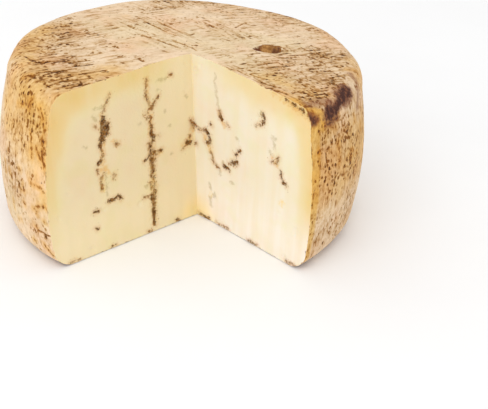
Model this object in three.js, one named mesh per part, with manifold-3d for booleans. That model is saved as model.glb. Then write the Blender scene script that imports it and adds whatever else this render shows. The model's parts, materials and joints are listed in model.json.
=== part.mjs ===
// A drum-shaped wheel of firm blue cheese with its rind, lying flat, with a quarter already cut out.
// Millimetres, +Z up. The origin is the centre of the flat base, on the wheel's axis.
// The wheel is one solid: a revolved drum, pressed slightly oval and uneven by its mould and by
// turning on the shelf, less the wedge that was cut out and less the dimple of a cheese iron.

import * as THREE from 'three';
import { mergeVertices } from 'three/addons/utils/BufferGeometryUtils.js';
import Module from 'manifold-3d';

// ---- Driving dimensions -------------------------------------------------------------------

// The drum
const WHEEL_RADIUS = 105; // at the belt, where the side bulges out most
const RIM_HEIGHT = 94.7; // where the crown would meet a wheel with sharp edges
const CROWN_RISE = 4; // how far the middle of the top stands above that
const BELT_HEIGHT = 37; // the drum has settled, so its widest place is below the middle
const SIDE_BULGE = 5.7; // how far the side draws in at half the rim height above the belt
const TOP_EDGE_RADIUS = 10.9;
const BASE_EDGE_RADIUS = 12;

// How far the drum is from round
const OVAL_SHARE = 0.0206; // of the radius, each way
const OVAL_LONG_AXIS = degrees(56.5);
const SIDE_WAVES = [
  { around: 5, climb: 1.1, size: 0.3, turn: 0.4 },
  { around: 8, climb: -1.9, size: 0.2, turn: 2.1 },
  { around: 13, climb: 2.7, size: 0.15, turn: 5.0 },
];
const TOP_WAVES = [
  { length: 118, heading: degrees(20), size: 0.35, turn: 1.2 },
  { length: 71, heading: degrees(105), size: 0.28, turn: 3.9 },
  { length: 43, heading: degrees(64), size: 0.18, turn: 0.3 },
];

// The notch: two knife cuts that meet in one line, which leans a little
const NOTCH_TIP_AT_BASE = new THREE.Vector2(10.2, -16.0);
const NOTCH_TIP_AT_RIM = new THREE.Vector2(2.4, -12.5);
const LEFT_CUT_HEADING = degrees(-133.9);
const RIGHT_CUT_HEADING = degrees(-41.9);
// The right cut starts a little steeper, where the knife first went in
const FIRST_CUT_HEADING = degrees(-37.6);
const FIRST_CUT_LENGTH = 11.4;

// The dimple where a cheese iron took a sample
const DIMPLE_CENTRE = new THREE.Vector2(43.8, 6.4);
const DIMPLE_LENGTH = 16.5;
const DIMPLE_WIDTH = 13;
const DIMPLE_DEPTH = 5;
const DIMPLE_HEADING = degrees(20);

// How finely the surfaces are divided
const STEPS_AROUND = 120;
const BASE_RINGS = 3;
const EDGE_STEPS = 7;
const SIDE_STEPS = 12;
const CROWN_RINGS = 12;
const DIMPLE_STEPS = 32;

// ---- Small helpers ------------------------------------------------------------------------

function degrees(angle) {
  return (angle * Math.PI) / 180;
}

// The point that lies this far from a start, in this direction.
function along(start, heading, distance) {
  const step = new THREE.Vector2(Math.cos(heading), Math.sin(heading));
  return start.clone().addScaledVector(step, distance);
}

const wasm = await Module();
wasm.setup();

// Joins the coincident vertices of a geometry, leaving only positions and triangles.
function welded(geometry) {
  const bare = geometry.clone().deleteAttribute('normal').deleteAttribute('uv');
  return mergeVertices(bare, 1e-4);
}

// A closed geometry as a solid. Triangles that shrink to a line at the axis are left out.
function solidOf(geometry) {
  const corners = geometry.index.array;
  const kept = [];
  for (let i = 0; i < corners.length; i += 3) {
    const [a, b, c] = corners.slice(i, i + 3);
    if (a !== b && b !== c && c !== a) kept.push(a, b, c);
  }
  const mesh = new wasm.Mesh({
    numProp: 3,
    vertProperties: geometry.attributes.position.array,
    triVerts: new Uint32Array(kept),
  });
  return new wasm.Manifold(mesh);
}

// A solid back as a geometry that can be drawn.
function geometryOf(solid) {
  const mesh = solid.getMesh();
  const geometry = new THREE.BufferGeometry();
  geometry.setAttribute('position', new THREE.BufferAttribute(mesh.vertProperties, 3));
  geometry.setIndex(new THREE.BufferAttribute(mesh.triVerts, 1));
  geometry.computeVertexNormals();
  return geometry;
}

// ---- The drum -----------------------------------------------------------------------------

// Radius of the bulging side at a height.
function sideRadius(height) {
  const fromBelt = (height - BELT_HEIGHT) / (RIM_HEIGHT / 2);
  return WHEEL_RADIUS - SIDE_BULGE * fromBelt ** 2;
}

// Height of the crowned top at a distance from the axis.
function crownHeight(distance) {
  return RIM_HEIGHT + CROWN_RISE * (1 - (distance / WHEEL_RADIUS) ** 2);
}

// The drum's outline from the middle of the base, out and up, to the middle of the top.
function drumProfile() {
  const points = [];
  const edgeStart = RIM_HEIGHT - TOP_EDGE_RADIUS;
  const baseFlat = sideRadius(BASE_EDGE_RADIUS) - BASE_EDGE_RADIUS;
  const crownReach = sideRadius(edgeStart) - TOP_EDGE_RADIUS;

  for (let i = 0; i < BASE_RINGS; i++) {
    points.push(new THREE.Vector2((baseFlat * i) / BASE_RINGS, 0));
  }
  for (let i = 0; i < EDGE_STEPS; i++) {
    const turn = (Math.PI / 2) * (i / EDGE_STEPS);
    points.push(
      new THREE.Vector2(
        baseFlat + BASE_EDGE_RADIUS * Math.sin(turn),
        BASE_EDGE_RADIUS * (1 - Math.cos(turn)),
      ),
    );
  }
  for (let i = 0; i < SIDE_STEPS; i++) {
    const height = THREE.MathUtils.lerp(BASE_EDGE_RADIUS, edgeStart, i / SIDE_STEPS);
    points.push(new THREE.Vector2(sideRadius(height), height));
  }
  const edgeRise = crownHeight(crownReach) - edgeStart;
  for (let i = 0; i < EDGE_STEPS; i++) {
    const turn = (Math.PI / 2) * (i / EDGE_STEPS);
    points.push(
      new THREE.Vector2(
        crownReach + TOP_EDGE_RADIUS * Math.cos(turn),
        edgeStart + edgeRise * Math.sin(turn),
      ),
    );
  }
  for (let i = 0; i <= CROWN_RINGS; i++) {
    const distance = crownReach * (1 - i / CROWN_RINGS);
    points.push(new THREE.Vector2(distance, crownHeight(distance)));
  }
  return points;
}

// The share by which the oval drum is wider or narrower in one direction.
function ovalScale(heading) {
  return 1 + OVAL_SHARE * Math.cos(2 * (heading - OVAL_LONG_AXIS));
}

// How far the side stands out or in at one place, besides its oval.
function sideUnevenness(heading, height) {
  let sum = 0;
  for (const wave of SIDE_WAVES) {
    const rise = (wave.climb * Math.PI * height) / RIM_HEIGHT;
    sum += wave.size * Math.sin(wave.around * heading + rise + wave.turn);
  }
  return sum;
}

// How far the top stands up or down at one place.
function topUnevenness(x, y) {
  let sum = 0;
  for (const wave of TOP_WAVES) {
    const run = x * Math.cos(wave.heading) + y * Math.sin(wave.heading);
    sum += wave.size * Math.sin((2 * Math.PI * run) / wave.length + wave.turn);
  }
  return sum;
}

// Presses a round drum into its real, uneven form. The base stays flat.
function pressDrum(geometry) {
  const position = geometry.attributes.position;
  const point = new THREE.Vector3();
  for (let i = 0; i < position.count; i++) {
    point.fromBufferAttribute(position, i);
    const heading = Math.atan2(point.y, point.x);
    const distance = Math.hypot(point.x, point.y);
    const outward = distance / WHEEL_RADIUS;
    const pressed =
      distance * ovalScale(heading) + outward ** 4 * sideUnevenness(heading, point.z);
    const lift = THREE.MathUtils.smoothstep(point.z, RIM_HEIGHT / 2, RIM_HEIGHT);
    const x = pressed * Math.cos(heading);
    const y = pressed * Math.sin(heading);
    position.setXYZ(i, x, y, point.z + lift * topUnevenness(x, y));
  }
  return geometry;
}

function drum() {
  const lathe = new THREE.LatheGeometry(drumProfile(), STEPS_AROUND);
  lathe.rotateX(Math.PI / 2); // the lathe's axis is Y, and the wheel's is Z
  return solidOf(pressDrum(welded(lathe)));
}

// ---- What was taken out -------------------------------------------------------------------

// The wedge between the two cuts, from below the base to above the crown.
function wedge() {
  const reach = 2 * WHEEL_RADIUS;
  const clearance = 10;
  const tip = NOTCH_TIP_AT_BASE;
  const bend = along(tip, FIRST_CUT_HEADING, FIRST_CUT_LENGTH);
  const outline = new THREE.Shape([
    tip,
    along(tip, LEFT_CUT_HEADING, reach),
    along(tip, (LEFT_CUT_HEADING + RIGHT_CUT_HEADING) / 2, reach),
    along(bend, RIGHT_CUT_HEADING, reach),
    bend,
  ]);
  const height = RIM_HEIGHT + CROWN_RISE + 2 * clearance;
  const block = new THREE.ExtrudeGeometry(outline, { depth: height, bevelEnabled: false });
  block.translate(0, 0, -clearance);

  // The knife line leans, so every level of the wedge moves over in step with its height
  const lean = NOTCH_TIP_AT_RIM.clone().sub(NOTCH_TIP_AT_BASE).divideScalar(RIM_HEIGHT);
  const shear = new THREE.Matrix4().makeShear(0, 0, 0, 0, lean.x, lean.y);
  return solidOf(welded(block.applyMatrix4(shear)));
}

// The rounded dimple in the top.
function dimple() {
  const ball = new THREE.SphereGeometry(1, DIMPLE_STEPS, DIMPLE_STEPS / 2);
  ball.scale(DIMPLE_LENGTH / 2, DIMPLE_WIDTH / 2, DIMPLE_DEPTH);
  ball.rotateZ(DIMPLE_HEADING);
  const { x, y } = DIMPLE_CENTRE;
  ball.translate(x, y, crownHeight(DIMPLE_CENTRE.length()) + topUnevenness(x, y));
  return solidOf(welded(ball));
}

// ---- The part -----------------------------------------------------------------------------

const rindAndPaste = new THREE.MeshStandardMaterial({
  color: new THREE.Color(0.89, 0.77, 0.58),
  roughness: 0.75,
  metalness: 0,
});

const wheel = new THREE.Mesh(
  geometryOf(drum().subtract(wedge()).subtract(dimple())),
  rindAndPaste,
);
wheel.name = 'cheese_wheel';

const part = new THREE.Group();
part.add(wheel);

export default part;
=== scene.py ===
"""The looks of a firm blue cheese wheel with a quarter cut out.

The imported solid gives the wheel's place and size. This script replaces it with one closed mesh of
the same form: a pressed and streaked natural rind, and two cut faces of waxy, blue-veined paste.
Lengths are in millimetres until a mesh, a lamp or the camera is made, and in metres from there.
"""

import json
import logging
import math
from dataclasses import dataclass, field, replace
from enum import Enum

import bpy
import numpy as np
from mathutils import Matrix, Vector
from mathutils.geometry import delaunay_2d_cdt

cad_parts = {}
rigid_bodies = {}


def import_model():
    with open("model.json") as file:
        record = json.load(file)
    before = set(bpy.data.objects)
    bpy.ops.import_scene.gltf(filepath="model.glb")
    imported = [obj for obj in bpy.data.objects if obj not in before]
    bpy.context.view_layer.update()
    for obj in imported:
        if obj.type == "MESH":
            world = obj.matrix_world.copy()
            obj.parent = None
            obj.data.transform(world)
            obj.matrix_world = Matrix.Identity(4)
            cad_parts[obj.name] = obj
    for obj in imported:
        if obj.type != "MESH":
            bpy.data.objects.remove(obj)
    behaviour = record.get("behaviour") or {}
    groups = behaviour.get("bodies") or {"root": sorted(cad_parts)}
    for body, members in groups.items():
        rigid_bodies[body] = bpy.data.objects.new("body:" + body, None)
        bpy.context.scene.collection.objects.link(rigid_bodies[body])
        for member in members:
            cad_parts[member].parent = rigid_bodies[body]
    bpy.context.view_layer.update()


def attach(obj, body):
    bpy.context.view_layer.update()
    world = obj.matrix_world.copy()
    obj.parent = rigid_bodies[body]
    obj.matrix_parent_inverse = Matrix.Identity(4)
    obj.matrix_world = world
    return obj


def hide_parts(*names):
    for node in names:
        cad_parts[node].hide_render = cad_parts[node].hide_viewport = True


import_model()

log = logging.getLogger("cheese_wheel")

Array = np.ndarray
Colour = tuple[float, float, float, float]
Spot = tuple[float, float]
Triple = tuple[float, float, float]
Size = float | Triple
Row = tuple[float | tuple[float, ...], ...]

MM = 0.001  # metres in a millimetre
NODE = "cheese_wheel"
WEAVE_HEADINGS = (math.radians(33), math.radians(-43))  # of the pressing cloth, over the top
ON_TOP = -50.0  # stands for the length run down the side, on a point that isn't on the side
FIRST, LAST = 0, -1  # the ends of a line that runs down the side
ROW_RISE = math.sqrt(0.75)  # the height of a triangle with three even sides of 1
JITTER = 0.12  # how far a lattice point strays, as a share of the fine spacing
TOUCHING = 1e-7  # points nearer than this count as one
NO_LENGTH = 1e-9  # keeps a division by the square of a length from failing
NO_SIZE = 1e-12  # and one by the size of a normal
SHARE, NUMBER_A, NUMBER_B, COLOUR_A, COLOUR_B = 0, 2, 3, 6, 7  # what goes into a mix node
MIXED_NUMBER, MIXED_COLOUR = 0, 2  # and what it gives


def paint(red: int, green: int, blue: int) -> Colour:
    """A colour as a shader takes it.

    Args:
        red: Red as a screen shows it, 0 to 255.
        green: Green, likewise.
        blue: Blue, likewise.

    Returns:
        The linear colour, opaque.
    """
    screen = [part / 255 for part in (red, green, blue)]
    linear = [c / 12.92 if c <= 0.04045 else ((c + 0.055) / 1.055) ** 2.4 for c in screen]
    return (*linear, 1.0)


def ease(values: Array, start: float, end: float) -> Array:
    """A smooth step from 0 at start to 1 at end, also where end is the lower of the two."""
    share = np.clip((values - start) / (end - start), 0, 1)
    return share * share * (3 - 2 * share)


def heading_step(heading: float) -> Array:
    """The flat unit vector of a heading in radians."""
    return np.array([math.cos(heading), math.sin(heading)])


class GrainNoise:
    """Smooth random numbers in space, the same on every run."""

    TABLE = 1 << 14
    FACTORS = (73856093, 19349663, 83492791)  # large primes that scatter the cells over the table
    LAYER_SHIFT = 17.3

    def __init__(self, seed: "Seed") -> None:
        """Draws the numbers that sit on the grid."""
        self.numbers = np.random.default_rng(seed.value).uniform(-1, 1, self.TABLE)

    def at(self, points: Array) -> Array:
        """The noise at points.

        Args:
            points: An (n, 3) array, in grid steps.

        Returns:
            Values from -1 to 1.
        """
        cell = np.floor(points).astype(np.int64)
        part = points - cell
        part = part * part * part * (part * (part * 6 - 15) + 10)
        total = np.zeros(len(points))
        for corner in np.ndindex(2, 2, 2):
            spot = (cell + corner) * self.FACTORS
            number = self.numbers[(spot[:, 0] ^ spot[:, 1] ^ spot[:, 2]) & (self.TABLE - 1)]
            weight = np.prod(np.where(np.array(corner, bool), part, 1 - part), axis=1)
            total += weight * number
        return total


    def layered(self, points: Array, layers: int = 2) -> Array:
        """Noise with finer layers over it, each half the size and half the strength."""
        total = sum(self.at(points * 2**i + self.LAYER_SHIFT * i) / 2**i for i in range(layers))
        return total / (2 - 2 ** (1 - layers))


def gap_to_line(points: Array, path: Array, half_widths: Array | None = None) -> Array:
    """How far points lie outside a line whose width may change along it.

    Args:
        points: An (n, k) array.
        path: The line's (m, k) points.
        half_widths: Half its width at each of them, or None for a bare line.

    Returns:
        The distance to the line's edge, negative inside it.
    """
    widths = np.zeros(len(path)) if half_widths is None else half_widths
    if len(path) == 1:
        return np.linalg.norm(points - path[0], axis=1) - widths[0]
    nearest = np.full(len(points), np.inf)
    for i in range(len(path) - 1):
        span = path[i + 1] - path[i]
        share = np.clip((points - path[i]) @ span / max(float(span @ span), NO_LENGTH), 0, 1)
        away = np.linalg.norm(points - path[i] - share[:, None] * span, axis=1)
        nearest = np.minimum(nearest, away - (widths[i] + share * (widths[i + 1] - widths[i])))
    return nearest


# ---- The wheel's form -----------------------------------------------------------------------


@dataclass(frozen=True)
class Wave:
    """One gentle wave of the drum's surface.

    For the side, `rate` is the number of waves around and `slant` the half turns from base to rim.
    For the top, `rate` is the wave's length and `slant` its heading in radians.
    """

    rate: float
    slant: float
    size: float
    turn: float


@dataclass(frozen=True)
class Drum:
    """The pressed drum before it is cut: a bulging side, round edges and a crowned top."""

    radius: float = 105.0
    rim_height: float = 94.7
    crown_rise: float = 4.0
    belt_height: float = 37.0
    side_bulge: float = 5.7
    top_edge: float = 10.9
    base_edge: float = 12.0
    oval_share: float = 0.0206
    oval_heading: float = math.radians(56.5)
    side_waves: tuple[Wave, ...] = (
        Wave(5, 1.1, 0.3, 0.4),
        Wave(8, -1.9, 0.2, 2.1),
        Wave(13, 2.7, 0.15, 5.0),
    )
    top_waves: tuple[Wave, ...] = (
        Wave(118, math.radians(20), 0.35, 1.2),
        Wave(71, math.radians(105), 0.28, 3.9),
        Wave(43, math.radians(64), 0.18, 0.3),
    )
    profile_steps: int = 60
    unpress_rounds: int = 8

    @property
    def crown_reach(self) -> float:
        """How far the crown runs from the axis before the edge rounds over."""
        return float(self.side_radius(self.rim_height - self.top_edge)) - self.top_edge

    @property
    def base_reach(self) -> float:
        """How far the flat base runs from the axis."""
        return float(self.side_radius(self.base_edge)) - self.base_edge

    def side_radius(self, height: Array | float) -> Array | float:
        """The bulging side's radius at a height."""
        return self.radius - self.side_bulge * ((height - self.belt_height) / (self.rim_height / 2)) ** 2

    def crown_height(self, distance: Array | float) -> Array | float:
        """The crowned top's height at a distance from the axis."""
        return self.rim_height + self.crown_rise * (1 - (distance / self.radius) ** 2)

    def band_profile(self) -> tuple[Array, Array, Array]:
        """The outline from the crown's rim, over the edge and down the side, to the base's rim.

        Returns:
            The length run along the outline, and the radius and height there.
        """
        turn = np.linspace(0, np.pi / 2, self.profile_steps)
        start = self.rim_height - self.top_edge
        rise = self.crown_height(self.crown_reach) - start
        side = np.linspace(start, self.base_edge, self.profile_steps)[1:-1]
        edge = self.crown_reach + self.top_edge * np.sin(turn)
        foot = self.base_reach + self.base_edge * np.cos(turn)
        radius = np.concatenate([edge, self.side_radius(side), foot])
        height = np.concatenate([start + rise * np.cos(turn), side, self.base_edge * (1 - np.sin(turn))])
        run = np.concatenate([[0.0], np.cumsum(np.hypot(np.diff(radius), np.diff(height)))])
        return run, radius, height

    def swell(self, heading: Array, distance: Array, height: Array) -> Array:
        """The distance from the axis once the round drum is pressed oval and uneven.

        Args:
            heading: Headings in radians.
            distance: Distances on the round drum.
            height: Heights above the base.

        Returns:
            The distances.
        """
        wavy = np.zeros(np.broadcast(heading, height).shape)
        for wave in self.side_waves:
            rise = wave.slant * np.pi * height / self.rim_height
            wavy = wavy + wave.size * np.sin(wave.rate * heading + rise + wave.turn)
        oval = 1 + self.oval_share * np.cos(2 * (heading - self.oval_heading))
        return distance * oval + (distance / self.radius) ** 4 * wavy

    def lift(self, x: Array, y: Array, height: Array) -> Array:
        """How far the uneven top stands up or down.

        Args:
            x: The pressed points' places along X.
            y: And along Y.
            height: Their heights on the even drum.

        Returns:
            The rise at each, negative where the top sinks.
        """
        wavy = np.zeros(np.broadcast(x, y).shape)
        for wave in self.top_waves:
            run = x * math.cos(wave.slant) + y * math.sin(wave.slant)
            wavy = wavy + wave.size * np.sin(2 * np.pi * run / wave.rate + wave.turn)
        return wavy * ease(height, self.rim_height / 2, self.rim_height)

    def pressed(self, heading: Array, distance: Array, height: Array) -> Array:
        """The pressed place of points on the round drum.

        Args:
            heading: Headings in radians.
            distance: Distances from the axis.
            height: Heights above the base.

        Returns:
            An (n, 3) array of points.
        """
        out = self.swell(heading, distance, height)
        x, y = out * np.cos(heading), out * np.sin(heading)
        return np.stack([x, y, height + self.lift(x, y, height)], axis=1)

    def round_distance(self, x: Array, y: Array, height: float) -> Array:
        """The distance from the axis that pressed points had on the round drum.

        Args:
            x: Their places along X.
            y: And along Y.
            height: Their height.

        Returns:
            The distances.
        """
        heading, out = np.arctan2(y, x), np.hypot(x, y)
        distance = out
        for _ in range(self.unpress_rounds):
            distance = distance + out - self.swell(heading, distance, np.full_like(out, height))
        return distance

    def crown_point(self, x: Array, y: Array) -> Array:
        """The points of the pressed top over flat places."""
        height = self.crown_height(self.round_distance(x, y, self.rim_height))
        return np.stack([x, y, height + self.lift(x, y, height)], axis=1)

    def side_point(self, degrees: Array, height: Array) -> Array:
        """The points of the pressed side at headings in degrees and heights."""
        _, radii, heights = self.band_profile()
        return self.pressed(np.radians(degrees), np.interp(height, heights[::-1], radii[::-1]), height)


class Side(Enum):
    """Which of the two cuts, as seen from the notch."""

    LEFT = "left"
    RIGHT = "right"


class Stretch(Enum):
    """A stretch of the wheel's surface that is flattened and filled by itself."""

    CROWN = "crown"
    BAND = "band"
    BASE = "base"
    LEFT_CUT = "left cut"
    RIGHT_CUT = "right cut"

    @property
    def side(self) -> Side | None:
        """The cut that the stretch is, if it is one."""
        return {Stretch.LEFT_CUT: Side.LEFT, Stretch.RIGHT_CUT: Side.RIGHT}.get(self)

    @property
    def faces_in(self) -> bool:
        """Whether triangles that turn left on the flat face into the cheese."""
        return self in (Stretch.BAND, Stretch.BASE, Stretch.LEFT_CUT)


@dataclass(frozen=True)
class Notch:
    """Two knife cuts that meet in one leaning line. The right cut bends a little near it."""

    tip_at_base: Spot = (10.2, -16.0)
    tip_at_rim: Spot = (2.4, -12.5)
    rim_height: float = 94.7
    left_heading: float = math.radians(-133.9)
    right_heading: float = math.radians(-41.9)
    first_heading: float = math.radians(-37.6)
    first_length: float = 11.4

    @property
    def lean(self) -> Array:
        """How far the knife line moves over for each millimetre up."""
        return (np.array(self.tip_at_rim) - np.array(self.tip_at_base)) / self.rim_height

    @property
    def bend(self) -> Array:
        """The flat way from the knife line to the bend of the right cut."""
        return self.first_length * heading_step(self.first_heading)

    def tip(self, height: Array) -> Array:
        """The knife line's flat place at heights, as an (n, 2) array."""
        return np.array(self.tip_at_base) + np.asarray(height)[:, None] * self.lean

    def heading(self, side: Side) -> float:
        """The main heading of one cut."""
        return self.left_heading if side is Side.LEFT else self.right_heading

    def spot(self, side: Side, along: Array, height: Array) -> Array:
        """The flat place of points on a cut.

        Args:
            side: Which cut.
            along: How far the points lie from the knife line.
            height: Their heights.

        Returns:
            An (n, 2) array.
        """
        start = self.tip(height)
        if side is Side.LEFT:
            return start + along[:, None] * heading_step(self.left_heading)
        first = np.minimum(along, self.first_length)
        rest = np.maximum(along - self.first_length, 0)
        bend = start + first[:, None] * heading_step(self.first_heading)
        return bend + rest[:, None] * heading_step(self.right_heading)

    def along(self, side: Side, points: Array) -> Array:
        """How far points of a cut's outer part lie from the knife line.

        Args:
            side: Which cut.
            points: An (n, 3) array.

        Returns:
            The distances along the cut.
        """
        away = points[:, :2] - self.tip(points[:, 2])
        if side is Side.LEFT:
            return away @ heading_step(self.left_heading)
        return self.first_length + (away - self.bend) @ heading_step(self.right_heading)

    def clearance(self, side: Side, points: Array) -> Array:
        """How far points stand inside the cheese, behind the outer part of a cut.

        Args:
            side: Which cut.
            points: An (n, 3) array.

        Returns:
            The distances, negative in the notch.
        """
        start = np.append(np.array(self.tip_at_base), 0.0)
        if side is Side.RIGHT:
            start[:2] += self.bend
        normal = np.cross(np.append(heading_step(self.heading(side)), 0.0), np.append(self.lean, 1.0))
        into_notch = np.append(heading_step((self.left_heading + self.right_heading) / 2), 0.0)
        turned = -1 if normal @ into_notch > 0 else 1
        return turned * (points - start) @ (normal / np.linalg.norm(normal))


@dataclass(frozen=True)
class Dimple:
    """The drop-shaped hollow that a cheese iron left in the top, pointed at one end."""

    centre: Spot = (43.8, 6.4)
    length: float = 16.5
    width: float = 13.0
    depth: float = 5.0
    heading: float = math.radians(20)
    pointedness: float = 0.3
    least_fullness: float = 0.4
    roundness: float = 2.4
    steepness: float = 0.6

    def reach(self, points: Array) -> Array:
        """How far out points lie.

        Args:
            points: An (n, 3) array.

        Returns:
            0 at the dimple's middle, 1 at its outline and more outside it.
        """
        away = points[:, :2] - np.array(self.centre)
        along = away @ heading_step(self.heading) / (self.length / 2)
        across = away @ heading_step(self.heading + math.pi / 2) / (self.width / 2)
        fullness = np.clip(1 + self.pointedness * along, self.least_fullness, 1)
        return np.hypot(along, across / fullness)

    def sink(self, points: Array) -> Array:
        """How far the top is hollowed at points."""
        return self.depth * np.clip(1 - self.reach(points) ** self.roundness, 0, 1) ** self.steepness


# ---- Veins of the paste and marks of the rind -------------------------------------------------


class Ink(Enum):
    """What a vein in the paste is stained with."""

    DARK = "vein_dark"
    BROWN = "vein_brown"
    AMBER = "vein_amber"
    GREEN = "vein_green"


class Trace(Enum):
    """What a mark on the rind is."""

    CREASE = "rind_crease"
    DAB = "rind_dab"
    SMEAR = "rind_smear"
    PLUM = "rind_plum"
    DUSK = "rind_dusk"
    SOOT = "rind_soot"
    TOAST = "rind_toast"
    RUST = "rind_rust"
    GOLD = "rind_gold"
    HONEY = "rind_honey"
    BLOOM = "rind_bloom"
    BARE = "rind_bare"
    CROSSED = "rind_crossed"


CROWN, BAND, BASE, LEFT_CUT, RIGHT_CUT = Stretch
DARK, BROWN, AMBER, GREEN = Ink
CREASE, DAB, SMEAR, PLUM, DUSK, SOOT, TOAST, RUST, GOLD, HONEY, BLOOM, BARE, CROSSED = Trace


@dataclass(frozen=True)
class Stroke:
    """A vein on a cut or a mark on the rind: a line whose width may change."""

    stretch: Stretch
    kind: Ink | Trace
    path: Array
    half_widths: Array

    def laid(self, drum: Drum) -> "Stroke":
        """A mark with its path laid on the drum, in space."""
        lay = drum.crown_point if self.stretch is CROWN else drum.side_point
        return replace(self, path=lay(*self.path.T))

    def gap(self, points: Array) -> Array:
        """How far points lie outside the stroke."""
        return gap_to_line(points, self.path, self.half_widths)


def strokes(stretch: Stretch, kind: Ink | Trace, *rows: Row) -> list[Stroke]:
    """Strokes of one kind.

    Args:
        stretch: The stretch of the surface that they are on.
        kind: What they are of.
        *rows: A stroke each: its half width, or several spread along it, then its places one by one.
            A place is a distance from the knife line and a height on a cut, X and Y on the top, and
            a heading in degrees and a height on the side.

    Returns:
        The strokes.
    """
    made = []
    for widths, *numbers in rows:
        path = np.array(numbers, float).reshape(-1, 2)
        stated = np.atleast_1d(widths)
        shares = np.linspace(0, 1, len(stated))
        half_widths = np.interp(np.linspace(0, 1, len(path)), shares, stated)
        made.append(Stroke(stretch, kind, path, half_widths))
    return made


# The left cut: two needle lines, and spots between and beside them
LEFT_VEINS = [
    # Stains all down the two needle lines
    *strokes(LEFT_CUT, AMBER,
        ((1.2, 1.4, 0.8), 62, 78, 63, 60, 65, 46, 65, 36),
        ((0.5, 1.1, 1.6, 1.2), 32, 88, 30.5, 72, 30.5, 56, 31, 40, 31.4, 22, 31.6, 5),
    ),
    # The outer needle line, from the top down
    *strokes(LEFT_CUT, BROWN,
        ((0.35, 0.6), 56, 88, 59, 83, 61, 79), (0.8, 58.5, 73, 58.5, 67), (0.5, 67, 73.5, 65.5, 72),
        ((0.6, 0.4), 64, 60, 63, 56, 64.5, 53), (0.5, 67.5, 49, 67.2, 46.5),
        ((0.45, 0.6), 63.5, 46, 65.5, 43, 65.5, 37), (0.7, 54.3, 60, 52.8, 59.5), (0.7, 57, 43, 57.3, 41),
    ),
    *strokes(LEFT_CUT, GREEN,
        (0.4, 66, 82.5, 62, 82, 59, 83), (0.3, 62.5, 45, 62.5, 32), (0.4, 75, 64, 73, 63),
        (0.6, 67.5, 79, 66, 76),
    ),
    *strokes(LEFT_CUT, DARK,
        ((1.0, 2.9, 1.0), 61, 77, 61, 73, 60.5, 70, 62, 67, 64.5, 61), (0.9, 66.2, 52, 64.7, 53),
        ((0.8, 0.8, 0.6), 62, 28.5, 58, 28.8, 55.5, 29.8, 53.3, 27.5), (0.6, 71.5, 25.2, 69, 25),
        (0.6, 71.2, 15.4, 70.5, 14.8),
    ),
    *strokes(LEFT_CUT, AMBER, (2.2, 63, 50, 61, 46), (1.0, 56.5, 62, 53.5, 59.5)),
    # The middle needle line, from the top down
    *strokes(LEFT_CUT, BROWN,
        ((0.6, 0.9), 31.5, 90, 32, 85, 32.4, 81),
        ((0.6, 0.8, 0.5), 32, 80, 30.5, 76, 29, 73.5, 27.5, 76.5, 24, 79.6),
        (0.4, 34.5, 71, 32.5, 71.5, 31, 74), ((0.9, 0.6), 32.3, 69, 30, 68.5, 31, 66, 29.8, 64),
        ((1.2, 2.3, 1.3), 32, 54, 31, 50, 30.8, 46, 30.8, 40, 31.2, 34),
        ((1.7, 0.9), 29, 47.5, 27, 46.8, 25, 48), ((0.9, 1.1), 30.6, 35, 30.4, 29, 30.4, 22),
        (1.1, 32.8, 30.5, 32, 27.5), ((0.6, 1.0), 38, 23, 34, 22.8, 31, 22.5),
        ((1.3, 1.5, 1.2), 31.5, 20, 31.6, 13, 31.6, 5),
        ((0.7, 0.9), 30.4, 64.5, 30, 61, 29.4, 57, 30.6, 53.5),
    ),
    *strokes(LEFT_CUT, AMBER,
        (0.9, 31.5, 91, 32, 80), (1.0, 31.5, 63, 31.6, 60), (1.6, 30, 47.5, 25, 47), (1.3, 30, 70, 30, 58),
    ),
    *strokes(LEFT_CUT, DARK,
        ((1.2, 1.0), 30.2, 59.5, 29.5, 57, 29.2, 55), (0.4, 25.5, 56.8, 25.2, 56.7),
        ((0.5, 0.7, 0.3), 31.5, 52, 31, 44, 30.2, 36), (0.5, 23.8, 47.7, 23.2, 48),
        (0.5, 36, 44.5, 34, 45.5, 32.5, 46.5), (0.9, 33, 21, 31.5, 22, 30.5, 20),
        (0.6, 32, 17, 31.2, 12, 31.8, 8, 30.8, 4),
    ),
    *strokes(LEFT_CUT, GREEN, (0.7, 36.2, 29.5, 35.5, 29)),
    # Crumbs of crust along the base
    *strokes(LEFT_CUT, DARK, (0.7, 15.5, 1.2, 14, 0.9), (0.5, 62, 0.9, 60, 0.6)),
    *strokes(LEFT_CUT, BROWN, (0.6, 36.5, 1.2, 34.5, 0.8), (0.5, 84, 0.8, 90, 1.0)),
    # Spots beside the lines
    *strokes(LEFT_CUT, BROWN, (0.6, 15.5, 89.8, 14.5, 89.5)),
    *strokes(LEFT_CUT, GREEN,
        (0.8, 24, 88.3, 19, 88), (0.5, 38, 67, 37.5, 67), (0.4, 24.5, 83, 24, 83), (0.6, 20.3, 70, 20, 70),
        (0.5, 17.6, 61, 17.4, 60.8), (0.5, 17, 44, 16.6, 43.8), (0.5, 5, 75, 4.6, 74.6),
    ),
    # The spread by the knife line
    *strokes(LEFT_CUT, AMBER, (1.8, 8, 47, 4, 47.5, 1, 55)),
    *strokes(LEFT_CUT, DARK, (1.1, 5, 47.5, 3.5, 46.5, 2.4, 46.4)),
    *strokes(LEFT_CUT, BROWN, (0.6, 8.5, 44.5, 6, 46, 4, 48, 2.8, 51), (0.8, 2, 60, 0.6, 57, 0.4, 55)),
]

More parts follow.
